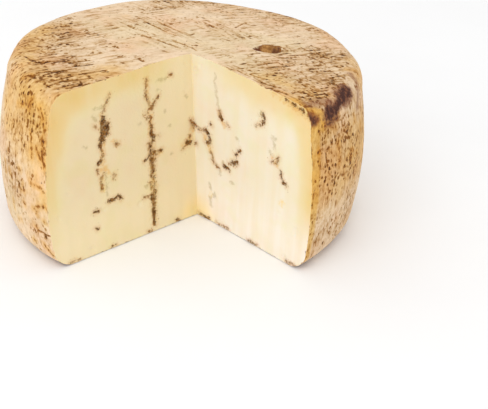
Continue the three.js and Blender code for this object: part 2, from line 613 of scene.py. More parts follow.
# The right cut: a ring near the knife line and a broken line near the rim
RIGHT_VEINS = [
    # A faint thread that ends in a dark spot
    *strokes(RIGHT_CUT, GREEN, ((0.3, 0.4, 0.5), 18, 92, 17, 88, 17.6, 84, 18.5, 79, 20, 73)),
    *strokes(RIGHT_CUT, AMBER, (1.5, 20, 71, 24, 64)),
    *strokes(RIGHT_CUT, BROWN, ((0.9, 1.3), 20.4, 71.2, 21.4, 67.8), (0.6, 25.8, 66, 27, 65.3)),
    *strokes(RIGHT_CUT, DARK, (0.9, 21, 68.6, 21.8, 67.8)),
    # The ring
    *strokes(RIGHT_CUT, DARK,
        (0.7, 12.6, 61.2, 13.4, 61),
        ((0.7, 0.7, 0.9), 9, 56.4, 10.8, 54.8, 12.4, 51.5, 11.5, 49.2, 9, 49.2),
        ((1.2, 1.0), 23, 40, 24.4, 39.2, 26.5, 39), (1.3, 29.8, 44.2, 32.6, 45.8),
        (0.6, 32, 50.2, 33.4, 50.8), ((0.6, 0.8), 34, 52.6, 35.8, 54.2),
    ),
    *strokes(RIGHT_CUT, BROWN,
        ((0.7, 0.7, 1.0), 0.2, 57.5, 3, 55.5, 6.5, 55, 9, 56.6, 10.8, 54.6), (0.7, 1, 45.7, 0.6, 45.2),
        (0.6, 12.2, 44.4, 13.4, 42.6, 14, 40.4), ((0.5, 0.7), 13, 39.8, 17, 37.2, 18.8, 37),
        ((0.5, 0.9), 26.5, 42.6, 29, 44),
    ),
    *strokes(RIGHT_CUT, AMBER, (2.0, 8, 52, 12, 46)),
    *strokes(RIGHT_CUT, GREEN,
        (0.5, 22.5, 42, 22.2, 41), (0.5, 34, 60.5, 33.4, 60), (0.7, 19.6, 34.5, 19.4, 33.5),
        (0.8, 29, 32.2, 28.2, 31.8),
    ),
    # A pale trail low down by the knife line
    *strokes(RIGHT_CUT, GREEN,
        (0.5, 11, 24, 11.4, 21), (0.8, 14.4, 19, 14, 17.4), ((0.7, 0.4), 11.2, 15, 11.4, 10),
    ),
    *strokes(RIGHT_CUT, AMBER, (0.7, 12, 18.5, 11, 16)),
    # The broken line near the rim
    *strokes(RIGHT_CUT, DARK,
        ((0.6, 1.3, 0.8), 53, 81.5, 53.6, 79, 53.2, 77, 52, 75.6),
        ((0.3, 0.7, 0.8), 65.6, 54, 66.2, 50, 67.4, 48, 69, 47.2),
    ),
    *strokes(RIGHT_CUT, GREEN,
        (0.4, 51.5, 82, 49.8, 79.5), (0.7, 59.4, 71, 62.4, 71), (0.5, 60.8, 68, 61, 65),
        (0.5, 57.4, 62, 58.6, 61),
    ),
    *strokes(RIGHT_CUT, BROWN,
        ((0.5, 0.3), 52, 75.4, 49, 73.6, 48, 73), ((0.6, 0.8), 64, 61, 63.4, 58.6, 62.4, 57.4),
        (0.6, 60.4, 57.2, 58.8, 56.6),
    ),
    *strokes(RIGHT_CUT, AMBER, (1.2, 60, 60, 63, 56), (1.4, 67.6, 36.4, 66, 34.6)),
    # Crumbs of crust under the rind and along the base
    *strokes(RIGHT_CUT, DARK,
        (1.0, 69, 95.2, 69.6, 95), (0.9, 73.4, 94.2, 75, 93.8), (1.0, 78.6, 93.2, 80.6, 92.6),
        (0.8, 2, 1.2, 5, 0.8, 9.5, 0.8), (0.6, 41, 0.8, 48, 0.8),
    ),
    *strokes(RIGHT_CUT, BROWN,
        (0.9, 84.5, 91.4, 87.5, 89.4), (1.0, 90, 86.6, 91, 83.6), (0.7, 16, 0.8, 25, 0.8),
        (0.7, 70, 1.2, 80, 1.0),
    ),
    *strokes(RIGHT_CUT, AMBER, (1.4, 60, 95, 72, 93.5, 84, 90)),
]

# Creases of the cloth and dark dents in the top
TOP_STROKES = [
    # Long creases of the cloth across the middle
    *strokes(CROWN, CREASE,
        (0.65, -30, 37, -26, 31, -20, 25, -14, 18, -9, 14), (0.5, -22, 37, -17, 31, -12, 26, -7, 21),
        (0.7, -28, 12, -22, 8, -15, 3, -7, -3), (0.4, -38, 26, -33, 21, -25, 17),
        (0.35, -10, 7, -4, 1, 2, -4, 5, -8), (0.4, 24, 38, 29, 48),
    ),
    # Short creases on the right
    *strokes(CROWN, CREASE,
        (0.5, 39, -21, 45.5, -16, 50, -12.5), (0.5, 44, -23, 49, -20, 58, -15), (0.4, 52, -6, 60, 0),
    ),
    # Along the right cut
    *strokes(CROWN, CREASE,
        (0.5, 35.5, -34, 41.5, -36.5, 45.5, -37.5), (0.35, 28.5, -31, 35.5, -37),
        (0.5, 41.5, -42.5, 48.5, -45.5), (0.5, 45, -48, 50.5, -50, 55.5, -53.5), (0.5, 61, -54, 67, -54),
    ),
    # The left front, thick with strokes
    *strokes(CROWN, CREASE,
        (0.5, -66, -50, -56, -43), (0.7, -72, -51, -68.5, -49.5, -60, -46), (0.6, -65, -61, -55, -53),
        (0.5, -66, -66, -59, -60, -46, -54), (0.6, -55, -67, -45, -60), (0.6, -78, -38, -67, -33),
        (0.6, -60, -35, -50, -30), (0.5, -60, -42, -48, -36), (0.5, -52, -50, -40, -43),
    ),
    # Single dark dents on the left
    *strokes(CROWN, DAB,
        (1.3, -75, 21, -72, 23), (0.8, -72, 3, -71, 6), (0.7, -82, -1, -81, -3), (1.0, -77, -12, -75, -13),
        (0.6, -72, -20, -71, -21), (0.6, -39, -8, -38, -10), (0.8, -25, -25, -22, -29),
        (0.5, -36, -24, -34, -22), (0.8, -73, -37, -69, -34), (0.7, -58, -33, -55, -32),
        (1.0, -76, -55, -74, -54), (0.8, -71, -56, -69, -55), (0.6, -64.5, -59, -63, -58),
        (0.8, -63, -50, -59, -47),
    ),
    # Single dark dents on the right
    *strokes(CROWN, DAB,
        (0.6, 29, 47, 30, 48.5), (0.8, 9, 38, 11, 35), (0.5, 20, 15, 22, 14), (0.6, -1, 17, 1, 20),
        (0.6, 32, 25, 34, 27), (0.8, 45, 14.8, 46.5, 14.8), (0.5, 50, 14.5, 52, 14), (0.5, 54.5, 17),
        (0.5, 53, 12, 54, 12.5), (0.5, 54.5, 9, 55, 9.5), (1.0, 72, 11, 73, 9), (1.2, 74.5, 5.5, 77, 4.5),
        (1.0, 68, 1.5, 69.5, 2), (1.1, 73.5, -2, 74, -3.5), (1.0, 71, -9.5, 73.5, -7.5),
        (0.6, 82.5, -7.5, 84.5, -8), (0.6, 71, -19, 72, -19), (0.5, 61.5, -23, 63, -23.5),
        (0.6, 51, -27, 52, -27.5), (1.1, 78, -24.5, 80.5, -26), (0.9, 79.5, -32, 80, -33),
        (0.9, 61.5, -34.5, 62, -35), (0.7, 63, -37, 65, -40), (0.7, 68, -41.5, 71.5, -43),
        (0.5, 59.5, -43, 61, -42.5), (0.8, 66, -49.5, 67.5, -51), (0.6, 57.5, -50, 58, -50.5),
        (0.7, 34, -28.5, 35.5, -29), (0.7, 39, -46, 41.5, -46.5), (1.0, 43, -49, 44.5, -48.5),
        (0.9, 49, -50.5, 50, -51), (0.8, 57, -62, 58, -64), (0.8, 63, -68, 67, -71),
    ),
]

# Brown smears, dark dabs and the bruise on the side and over its top edge
SIDE_STROKES = [
    # The left side, from the top down
    *strokes(BAND, DAB,
        (0.9, -144.8, 95.2, -142, 95.5), (0.7, -137.2, 95.8, -136.6, 95.6),
        (0.7, -135.6, 95.7, -133.8, 95.7), (0.7, -138.8, 91.4, -137.4, 90.9),
        (0.5, -134.2, 79.7, -134, 79.4), (0.8, -132.2, 78.4, -132.2, 77.4), (0.5, -139.2, 66, -139.2, 65),
        (0.6, -128.6, 63.6, -128.3, 61.6), (0.9, -137, 77.5, -137, 74.6), (0.7, -146.2, 58.5, -146.6, 53.5),
        (0.6, -144.8, 70, -144.6, 68.4), (0.5, -141.5, 74, -141.5, 73), (0.5, -136, 68.5, -136, 67.6),
        (0.5, -142.5, 61, -142.3, 60.2), (0.8, -144.8, 48, -142.6, 49.5), (0.9, -141.6, 44.8, -141.6, 44),
        (1.0, -139, 40.8, -139.4, 38.7), (0.7, -127.6, 37.2, -127.6, 36), (0.6, -132, 19.8, -131.4, 18.3),
        (0.6, -130, 20.4, -128.2, 20.4, -126.6, 20.1, -125.4, 20.4),
    ),
    *strokes(BAND, SMEAR,
        (0.9, -146.2, 93.4, -144.8, 95.2), (0.5, -136.8, 89.9, -137, 86.8, -138.2, 82.7),
        (0.3, -144.2, 81.5, -139.2, 84.7),
        (0.6, -131.6, 87.7, -130.4, 84.7, -130, 81.5, -129.2, 78.9, -128.8, 75.9),
        (0.7, -134.6, 72.1, -133.8, 66.8, -133, 60.2),
        (1.0, -129, 72.7, -128.8, 67.7, -128.4, 62.3, -127.2, 59.9),
        (0.6, -131.2, 67.1, -130, 63.5, -129, 62), (0.7, -150, 45.3, -150, 38.1),
        (0.6, -145.8, 43.2, -144.2, 39.9), (1.0, -139.2, 49.5, -138.8, 49.2), (0.7, -137, 43.2, -137, 41.4),
        (0.8, -137.6, 38.4, -136, 39.9), (0.4, -133, 46.2, -130.6, 46.5, -128, 46.8, -127.2, 45),
        (0.7, -136, 32.4, -136, 31.6), (0.5, -144.2, 26.4, -144.2, 21.3),
        (0.7, -131.6, 32.4, -130.6, 33.9, -129, 36), (0.6, -130.2, 31.6, -130.2, 30.8),
        (0.6, -126.8, 37.2, -125.8, 36.3), (0.6, -141.4, 17.1, -141.2, 17), (0.6, -139.2, 19.2, -139, 19),
        (0.5, -127, 28.2, -127, 27), (0.5, -131.6, 22.5, -130.2, 21.9), (0.6, -132.8, 12, -132, 12),
        (0.6, -128, 13.8, -127.2, 11.7, -124.8, 8.5),
    ),
    # The right side, from the top down
    *strokes(BAND, DAB,
        (0.5, -41.6, 82.5, -41.6, 81.7), (0.6, -28.4, 76.2, -27.8, 74.7, -25.8, 73),
        (0.8, -28, 72.1, -25.6, 70), (0.8, -37.4, 71.5, -38.4, 70.9),
        (0.6, -39, 69.4, -38.8, 65.6, -38.4, 62), (0.6, -31, 87.3, -31, 86.9),
        (0.5, -45.5, 75.5, -45.5, 69.5), (0.5, -45.6, 62, -45.6, 57),
    ),
    *strokes(BAND, SMEAR,
        (0.5, -39.4, 85.6, -35.2, 85, -32.2, 86.8), (0.4, -38.8, 83.8, -33.6, 80.3),
        (0.6, -32.4, 72.1, -32.4, 69.1), (0.5, -31.8, 68.2, -32, 58.7), (0.5, -42.2, 72.7, -42.2, 70.6),
        (0.6, -24, 62.6, -22.2, 60.8), (2.2, -45.2, 91.4, -43.4, 88.8), (0.8, -25.2, 59.9, -23.6, 57.5),
        (0.4, -21, 81.2, -21, 76.2), (0.5, -14.6, 71.8, -15, 68), (0.6, -19.4, 57.9, -19.4, 57.1),
    ),
    # Along the edge of the right cut and the top
    *strokes(BAND, DAB,
        (0.6, -47.8, 95.8, -46.4, 95.7, -47, 95.1), (0.8, -45.4, 95, -42, 94.7),
        (0.5, -21.8, 95.8, -20, 95.7), (0.6, -13, 91, -13, 90.4),
    ),
    *strokes(BAND, SMEAR, (0.4, -6.4, 95.8, -3.6, 93.9, -5.2, 92.8)),
    # The bruise of mould over the right rim, and a dusky streak behind it
    *strokes(BAND, PLUM,
        (4.4, -21.6, 93.2, -26.6, 92.8), (2.8, -27.6, 92.4, -31.6, 91.2), (4.0, -33.4, 90.2, -36.4, 89),
        (1.8, -44.6, 90.4, -43.8, 88.8), (0.9, -32, 85.2, -35, 83.8, -38, 84.4),
    ),
    *strokes(BAND, DUSK,
        (1.8, -44.2, 95.6, -38, 94.9, -33.4, 93.6), (1.4, -9, 95.4, -11.5, 92.6, -15, 88, -16.5, 82),
    ),
]

# Where strokes crowd, and the tan, warm, bloomed and bare places of the rind
CLOUDS = [
    # Dark clusters
    *strokes(CROWN, SOOT,
        (3, -77, 22, -70, 24), (4, -72, 14, -72, 2), (3, -78, -55, -60, -50), (1, -66, -68, -50, -60),
        (4, -76, -36, -56, -30), (3, -76, -13, -66, -10), (5, 70, 14, 76, 4), (7, 66, -4, 75, -20),
        (5, 79, -22, 80, -34), (6, 60, -30, 68, -48), (3, -32, 58, -27, 64), (4, -24, 66, -16, 72),
        (3, -18, 86, -12, 87), (3, 8, 38, 12, 35), (3, -26, -26, -22, -30), (2, 57, 71, 59, 70),
    ),
    *strokes(BAND, SOOT,
        (5, -145, 50, -140, 40), (4, -129, 78, -129, 62), (3, -130, 22, -126, 18), (3, -139, 88, -132, 80),
        (14, -37, 68, -24, 60), (8, 20, 60, 35, 40), (9, 80, 30, 95, 65), (3, -14, 91, -17, 80),
        (8, 150, 70, 165, 50), (5, -168, 84, -170, 68, -168, 52), (4, -164, 38, -156, 22),
        (3, -158, 94, -178, 92),
    ),
    # Tan all over
    *strokes(CROWN, TOAST,
        (14, 80, 2, 74, -30), (12, 62, 2, 60, -22), (12, 50, -20, 56, -46), (8, 56, -52, 78, -44),
        (13, -66, -50, -74, -20, -70, 16), (6, -58, -62, -34, -42), (7, -20, 92, 20, 90, 60, 70, 82, 44),
    ),
    *strokes(BAND, TOAST,
        (16, -44, 88, -26, 84, -12, 84), (24, -44, 60, -26, 50, -12, 60), (4, -128, 90, -142, 92),
        (16, -44, 30, -20, 20), (14, -128, 84, -146, 82), (3, -128, 70, -134, 66), (7, -146, 52, -142, 38),
        (16, 60, 50, 110, 40),
    ),
    # Warm, oily places
    *strokes(CROWN, RUST,
        (5, -76, -56, -88, -20, -84, 14), (4, -66, -58, -36, -46), (1, 44, -36, 70, -48),
        (2, 54, -56, 62, -62),
    ),
    *strokes(BAND, RUST,
        (16, -128, 86, -146, 84), (10, -128, 68, -146, 72), (15, -40, 58, -14, 58), (1, -131, 52, -128, 42),
        (5, -43, 88, -38, 80), (1, -6, 92, 2, 91),
    ),
    # Golden strips along the right cut and at its rim, and a honey-coloured left shoulder
    *strokes(BAND, GOLD, (3.4, -44.6, 86, -44.6, 70, -44.8, 40, -45, 10), (1.5, -45, 94, -40, 90, -40, 84)),
    *strokes(CROWN, GOLD, (2, 58, -60, 63, -66)),
    *strokes(BAND, HONEY, (6, -138, 87, -131, 82)),
    # Pale bloom across the middle and low on the side
    *strokes(CROWN, BLOOM, (16, -45, 30, -20, 10, 10, 5), (12, 20, 20, 50, 16), (10, 30, -20, 48, -30)),
    *strokes(BAND, BLOOM, (8, -126, 34, -140, 30, -150, 20), (10, 120, 30, 150, 20)),
    # Bare of strokes beside the notch
    *strokes(CROWN, BARE, (2.5, 2, -10, -14, -22, -32, -42), (2.5, 3, -10, 16, -21)),
    # Few strokes on pale places of the side
    *strokes(BAND, BARE, (1.6, -131, 60, -127.5, 44), (1.0, -44.4, 84, -44.4, 60)),
    # Where the strokes run the other way
    *strokes(CROWN, CROSSED,
        (14, -32, 34, -8, 6), (6, 20, -30, 62, -62), (10, -40, 70, -10, 78), (5, -84, -40, -80, 0),
        (8, 10, 40, 30, 25),
    ),
]


# ---- The mesh -----------------------------------------------------------------------------------


class Seed(Enum):
    """What starts each run of random numbers, for the lattices and the relief."""

    CROWN = 1
    BAND = 2
    BASE = 3
    LEFT_CUT = 4
    RIGHT_CUT = 5
    HOLLOWS = 11
    MAIN_RIDGES = 12
    CROSSING_RIDGES = 13
    UPRIGHT_RIDGES = 14
    PITS = 15
    BRUISE = 16
    VEIN_EDGES = 21
    CRUMBS = 22
    KNIFE_DRAG = 23
    EYES = 24


@dataclass
class Patch:
    """A stretch of the surface, flattened: its outline and the points inside it."""

    stretch: Stretch
    outline: Array
    outline_ids: Array
    inner: Array
    inner_ids: Array
    creases: list[tuple[int, int]] = field(default_factory=list)

    @property
    def ids(self) -> Array:
        """The numbers of all its points, those of the outline first."""
        return np.concatenate([self.outline_ids, self.inner_ids])

    @property
    def flat(self) -> Array:
        """The flat places of all its points, in the same order."""
        return np.vstack([self.outline, self.inner])

    def triangles(self) -> Array:
        """The patch's triangles, facing out, as vertex numbers.

        Returns:
            An (n, 3) array.
        """
        flat = self.flat
        loop = list(range(len(self.outline)))
        inside_only = 1
        made = delaunay_2d_cdt([Vector(spot) for spot in flat], self.creases, [loop], inside_only, TOUCHING)
        _, _, triangles, origins, _, _ = made
        source = np.array([origin[0] for origin in origins])
        if len(source) != len(flat):
            raise RuntimeError(f"{self.stretch.value}: points of the patch fell together")
        faces = source[np.array(triangles)]
        a, b, c = (flat[faces[:, i]] for i in range(3))
        turn = (b - a)[:, 0] * (c - a)[:, 1] - (b - a)[:, 1] * (c - a)[:, 0]
        turned = (turn < 0) != self.stretch.faces_in
        faces[turned] = faces[turned][:, ::-1]
        return self.ids[faces]


@dataclass(frozen=True)
class Line:
    """A line that patches share: its points, their numbers, and how far along it they lie."""

    ids: Array
    points: Array
    along: Array


def lattice(low: Spot, high: Spot, spacing: float, seed: Seed) -> tuple[Array, Array]:
    """A staggered lattice over a rectangle, slightly jittered.

    Args:
        low: The rectangle's lower corner.
        high: Its upper corner.
        spacing: The coarse spacing. The lattice is twice as fine.
        seed: The seed of the jitter.

    Returns:
        The points, and which of them belong to the coarse lattice.
    """
    step = spacing / 2
    rows = int((high[1] - low[1]) / (step * ROW_RISE)) + 1
    columns = int((high[0] - low[0]) / step) + rows // 2 + 2
    row, column = np.mgrid[0:rows, -(rows // 2) : columns]
    x = low[0] + (column + row / 2) * step
    y = low[1] + row * step * ROW_RISE
    coarse = (row % 2 == 0) & (column % 2 == 0)
    inside = (x >= low[0]) & (x <= high[0])
    points = np.stack([x[inside], y[inside]], axis=1)
    jitter = np.random.default_rng(seed.value).uniform(-JITTER, JITTER, points.shape) * step
    return points + jitter, coarse[inside]


def spaced(start: float, end: float, spacing: float) -> Array:
    """Even places from start to end, both included, about this far apart."""
    return np.linspace(start, end, max(2, round(abs(end - start) / spacing) + 1))


def ring(*lines: Array) -> Array:
    """Lines joined head to tail and closed, with each corner in it once."""
    return np.concatenate([line[:-1] for line in lines])


@dataclass
class Skin:
    """The wheel's closed surface: its points, its triangles and what each point knows.

    The crown, the band of edge and side, the base and the two cuts are flattened and filled one by
    one. Neighbours share the points of the line between them, so the surface has no gap.
    """

    drum: Drum
    notch: Notch
    dimple: Dimple
    veins: list[Stroke]
    marks: list[Stroke]
    crown_spacing: float = 1.05
    band_spacing: float = 1.3
    cut_spacing: float = 1.1
    base_spacing: float = 3.2
    edge_spacing: float = 0.8
    foot_spacing: float = 1.2
    rim_ring_spacing: float = 1.1
    foot_ring_spacing: float = 1.4
    rind_margin_share: float = 0.55
    base_margin_share: float = 0.5
    cut_margin: float = 1.0
    knife_margin: float = 0.6
    bend_margin: float = 0.45
    fine_by_top_marks: float = 1.2
    fine_by_side_marks: float = 0.8
    fine_by_veins: float = 1.0
    dimple_wall: float = 0.75
    dimple_wall_half: float = 0.4
    search_reach: float = 0.5
    halvings: int = 45
    levelling_rounds: int = 10

    def __post_init__(self) -> None:
        """Lays out the shared lines and fills the five patches."""
        self.chunks: list[Array] = []
        self.runs: list[Array] = []
        self.patches: list[Patch] = []
        self.run, *self.profile = self.drum.band_profile()
        self.length = float(self.run[-1])
        self.lay_lines()
        self.fill_level(CROWN)
        self.fill_band()
        self.fill_level(BASE)
        for side in Side:
            self.fill_cut(side)
        self.points = np.vstack(self.chunks)
        self.run_down = np.concatenate(self.runs)

    def add(self, points: Array, run: Array | float = ON_TOP) -> Array:
        """Adds points to the surface.

        Args:
            points: An (n, 3) array.
            run: The length run down the band at each point, below 0 on the top and the cuts.

        Returns:
            The points' numbers.
        """
        first = sum(map(len, self.chunks))
        self.chunks.append(points)
        self.runs.append(np.broadcast_to(np.asarray(run, float), len(points)))
        return np.arange(first, first + len(points))

    def known(self, ids: Array) -> Array:
        """The places of points already added."""
        return np.vstack(self.chunks)[ids]

    def band_point(self, heading: Array, run: Array) -> Array:
        """Points of the band at headings in radians and lengths run down from the crown."""
        radius, height = (np.interp(run, self.run, outline) for outline in self.profile)
        return self.drum.pressed(heading, radius, height)

    def band_end(self, side: Side, run: Array) -> Array:
        """The headings where the band meets a cut, found by halving.

        Args:
            side: The cut.
            run: Lengths run down from the crown.

        Returns:
            The heading at each, in radians.
        """
        middle = self.notch.heading(side)
        low, high = (np.full(len(run), middle + off) for off in (-self.search_reach, self.search_reach))
        sign = 1 if side is Side.RIGHT else -1
        for _ in range(self.halvings):
            guess = (low + high) / 2
            past = sign * self.notch.clearance(side, self.band_point(guess, run)) > 0
            high = np.where(past, guess, high)
            low = np.where(past, low, guess)
        return (low + high) / 2

    def crown_line(self, side: Side, along: Array) -> Array:
        """Points where a cut meets the top.

        Args:
            side: The cut.
            along: Their distances from the knife line.

        Returns:
            An (n, 3) array.
        """
        height = np.full(len(along), self.drum.rim_height + self.drum.crown_rise)
        for _ in range(self.levelling_rounds):
            spot = self.notch.spot(side, along, height)
            height = self.drum.crown_point(*spot.T)[:, 2]
        return np.column_stack([self.notch.spot(side, along, height), height])

    def lay_lines(self) -> None:
        """Makes the lines that the patches share, each point of them once."""
        top = float(self.crown_line(Side.LEFT, np.zeros(1))[0, 2])
        heights = spaced(top, 0.0, self.edge_spacing)
        knife = np.column_stack([self.notch.tip(heights), heights])
        self.knife = Line(self.add(knife), knife, heights)
        self.drops: dict[Side, Line] = {}
        self.tops: dict[Side, Line] = {}
        self.feet: dict[Side, Line] = {}
        for side in Side:
            run = spaced(0.0, self.length, self.edge_spacing)
            drop = self.band_point(self.band_end(side, run), run)
            self.drops[side] = Line(self.add(drop, run), drop, run)
            self.tops[side] = self.lay_across(side, FIRST, self.edge_spacing)
            self.feet[side] = self.lay_across(side, LAST, self.foot_spacing)
        self.rim = self.lay_ring(FIRST, self.rim_ring_spacing)
        self.foot = self.lay_ring(LAST, self.foot_ring_spacing)
        log.info("shared lines: %d points", sum(map(len, self.chunks)))

    def lay_across(self, side: Side, end: int, spacing: float) -> Line:
        """The line where a cut meets the top or the base, from the knife out.

        Args:
            side: The cut.
            end: FIRST for the top, LAST for the base.
            spacing: How far apart its points lie.

        Returns:
            The line, with the distances from the knife.
        """
        drop = self.drops[side]
        along = spaced(0.0, float(self.notch.along(side, drop.points[[end]])[0]), spacing)
        if side is Side.RIGHT:
            along[np.argmin(np.abs(along - self.notch.first_length))] = self.notch.first_length
        if end == FIRST:
            inner = self.add(self.crown_line(side, along[1:-1]))
        else:
            level = np.zeros(len(along) - 2)
            spots = self.notch.spot(side, along[1:-1], level)
            inner = self.add(np.column_stack([spots, level]), self.length)
        ids = np.concatenate([self.knife.ids[[end]], inner, drop.ids[[end]]])
        return Line(ids, self.known(ids), along)

    def lay_ring(self, end: int, spacing: float) -> Line:
        """The crown's or the base's rim, from the right cut round the back to the left cut.

        Args:
            end: FIRST for the crown's, LAST for the base's.
            spacing: How far apart its points lie.

        Returns:
            The line, with the headings.
        """
        run = self.run[[end]]
        right, left = (float(self.band_end(side, run)[0]) for side in (Side.RIGHT, Side.LEFT))
        heading = spaced(right, left + 2 * math.pi, spacing / self.drum.radius)
        inner = self.add(self.band_point(heading[1:-1], np.repeat(run, len(heading) - 2)), run)
        ids = np.concatenate([self.drops[Side.RIGHT].ids[[end]], inner, self.drops[Side.LEFT].ids[[end]]])
        return Line(ids, self.known(ids), heading)

    def close(self, patch: Patch) -> None:
        """Keeps a finished patch."""
        self.patches.append(patch)
        log.info("%s: %d + %d points", patch.stretch.value, len(patch.outline), len(patch.inner))

    def near_marks(self, points: Array, reach: float) -> Array:
        """Which rind points lie near a crease, a dab or a smear."""
        narrow = [mark for mark in self.marks if mark.kind in (CREASE, DAB, SMEAR)]
        return np.any([mark.gap(points) < reach for mark in narrow], axis=0)

    def behind_cuts(self, points: Array, margin: float) -> Array:
        """Which points lie inside the cheese, clear of the notch.

        Args:
            points: An (n, 3) array.
            margin: How far they have to stay clear.

        Returns:
            True for each that does.
        """
        inward = heading_step(self.notch.first_heading + math.pi / 2)
        depths = [self.notch.clearance(side, points) for side in Side]
        depths.append((points[:, :2] - self.notch.tip(points[:, 2])) @ inward)
        return np.max(depths, axis=0) > margin

    def fill_level(self, stretch: Stretch) -> None:
        """Fills the top or the base, inside its rim and behind both cuts.

        Args:
            stretch: The crown, which is finer at its marks and dimple, or the base.
        """
        drum, on_top = self.drum, stretch is CROWN
        rim, across = (self.rim, self.tops) if on_top else (self.foot, self.feet)
        reach, height = (drum.crown_reach, drum.rim_height) if on_top else (drum.base_reach, 0.0)
        spacing = self.crown_spacing if on_top else self.base_spacing
        margin = spacing * (self.rind_margin_share if on_top else self.base_margin_share)
        spots, coarse = lattice((-drum.radius,) * 2, (drum.radius,) * 2, spacing, Seed[stretch.name])
        keep = drum.round_distance(*spots.T, height) < reach - margin
        spots, coarse = spots[keep], coarse[keep]
        points = drum.crown_point(*spots.T) if on_top else np.column_stack([spots, np.zeros(len(spots))])
        keep = self.behind_cuts(points, margin)
        points, wanted = points[keep], coarse[keep]
        if on_top:
            wanted |= self.near_marks(points, self.fine_by_top_marks)
            wanted |= np.abs(self.dimple.reach(points) - self.dimple_wall) < self.dimple_wall_half
        points = points[wanted]
        ids = ring(across[Side.RIGHT].ids, rim.ids, across[Side.LEFT].ids[::-1])
        numbers = self.add(points, ON_TOP if on_top else self.length)
        self.close(Patch(stretch, self.known(ids)[:, :2], ids, points[:, :2], numbers))

    def fill_band(self) -> None:
        """Fills the band from the crown's rim over the edge and down to the base's rim."""
        scale = self.drum.radius
        rim, foot, right, left = self.rim, self.foot, self.drops[Side.RIGHT], self.drops[Side.LEFT]
        right_end = self.band_end(Side.RIGHT, right.along) * scale
        left_end = (self.band_end(Side.LEFT, left.along) + 2 * math.pi) * scale
        ids = ring(rim.ids, left.ids, foot.ids[::-1], right.ids[::-1])
        across = ring(rim.along * scale, left_end, foot.along[::-1] * scale, right_end[::-1])
        at_rim, at_foot = np.zeros(len(rim.ids)), np.full(len(foot.ids), self.length)
        down = ring(at_rim, left.along, at_foot, right.along[::-1])

        low = (float(right_end.min()), 0.0)
        high = (float(left_end.max()), self.length)
        spots, coarse = lattice(low, high, self.band_spacing, Seed.BAND)
        margin = self.band_spacing * self.rind_margin_share
        x, y = spots.T
        keep = (y > margin) & (y < self.length - margin)
        keep &= x > np.interp(y, right.along, right_end) + margin
        keep &= x < np.interp(y, left.along, left_end) - margin
        spots, coarse = spots[keep], coarse[keep]
        points = self.band_point(spots[:, 0] / scale, spots[:, 1])
        wanted = coarse | self.near_marks(points, self.fine_by_side_marks)
        spots = spots[wanted]
        numbers = self.add(points[wanted], spots[:, 1])
        self.close(Patch(BAND, np.column_stack([across, down]), ids, spots, numbers))

    def fill_cut(self, side: Side) -> None:
        """Fills one cut face, finer where its veins are.

        Args:
            side: Which cut.
        """
        stretch = LEFT_CUT if side is Side.LEFT else RIGHT_CUT
        notch, margin, knife = self.notch, self.cut_margin, self.knife
        top, drop, foot = self.tops[side], self.drops[side], self.feet[side]
        drop_along, drop_height = notch.along(side, drop.points), drop.points[:, 2]
        top_height = top.points[:, 2]
        ids = ring(top.ids, drop.ids, foot.ids[::-1], knife.ids[::-1])
        across = ring(top.along, drop_along, foot.along[::-1], np.zeros(len(knife.ids)))
        up = ring(top_height, drop_height, np.zeros(len(foot.ids)), knife.along[::-1])

        high = (float(drop_along.max()), float(top_height.max()))
        spots, coarse = lattice((0.0, 0.0), high, self.cut_spacing, Seed[stretch.name])
        x, y = spots.T
        keep = (x > self.knife_margin) & (y > margin)
        keep &= x < np.interp(y, drop_height[::-1], drop_along[::-1]) - margin
        keep &= y < np.interp(x, top.along, top_height) - margin
        if side is Side.RIGHT:
            keep &= np.abs(x - notch.first_length) > self.bend_margin
        spots, coarse = spots[keep], coarse[keep]
        solid = [v for v in self.veins if v.stretch is stretch and v.kind in (DARK, BROWN)]
        spots = spots[coarse | np.any([vein.gap(spots) < self.fine_by_veins for vein in solid], axis=0)]

        creases: list[tuple[int, int]] = []
        if side is Side.RIGHT:
            # A row of points down the bend keeps it crisp
            roof = float(np.interp(notch.first_length, top.along, top_height))
            heights = spaced(roof - margin, margin, self.edge_spacing)
            row = np.column_stack([np.full(len(heights), notch.first_length), heights])
            creases = [(len(ids) + i, len(ids) + i + 1) for i in range(len(row) - 1)]
            spots = np.vstack([row, spots])
        points = np.column_stack([notch.spot(side, *spots.T), spots[:, 1]])
        outline = np.column_stack([across, up])
        self.close(Patch(stretch, outline, ids, spots, self.add(points), creases))


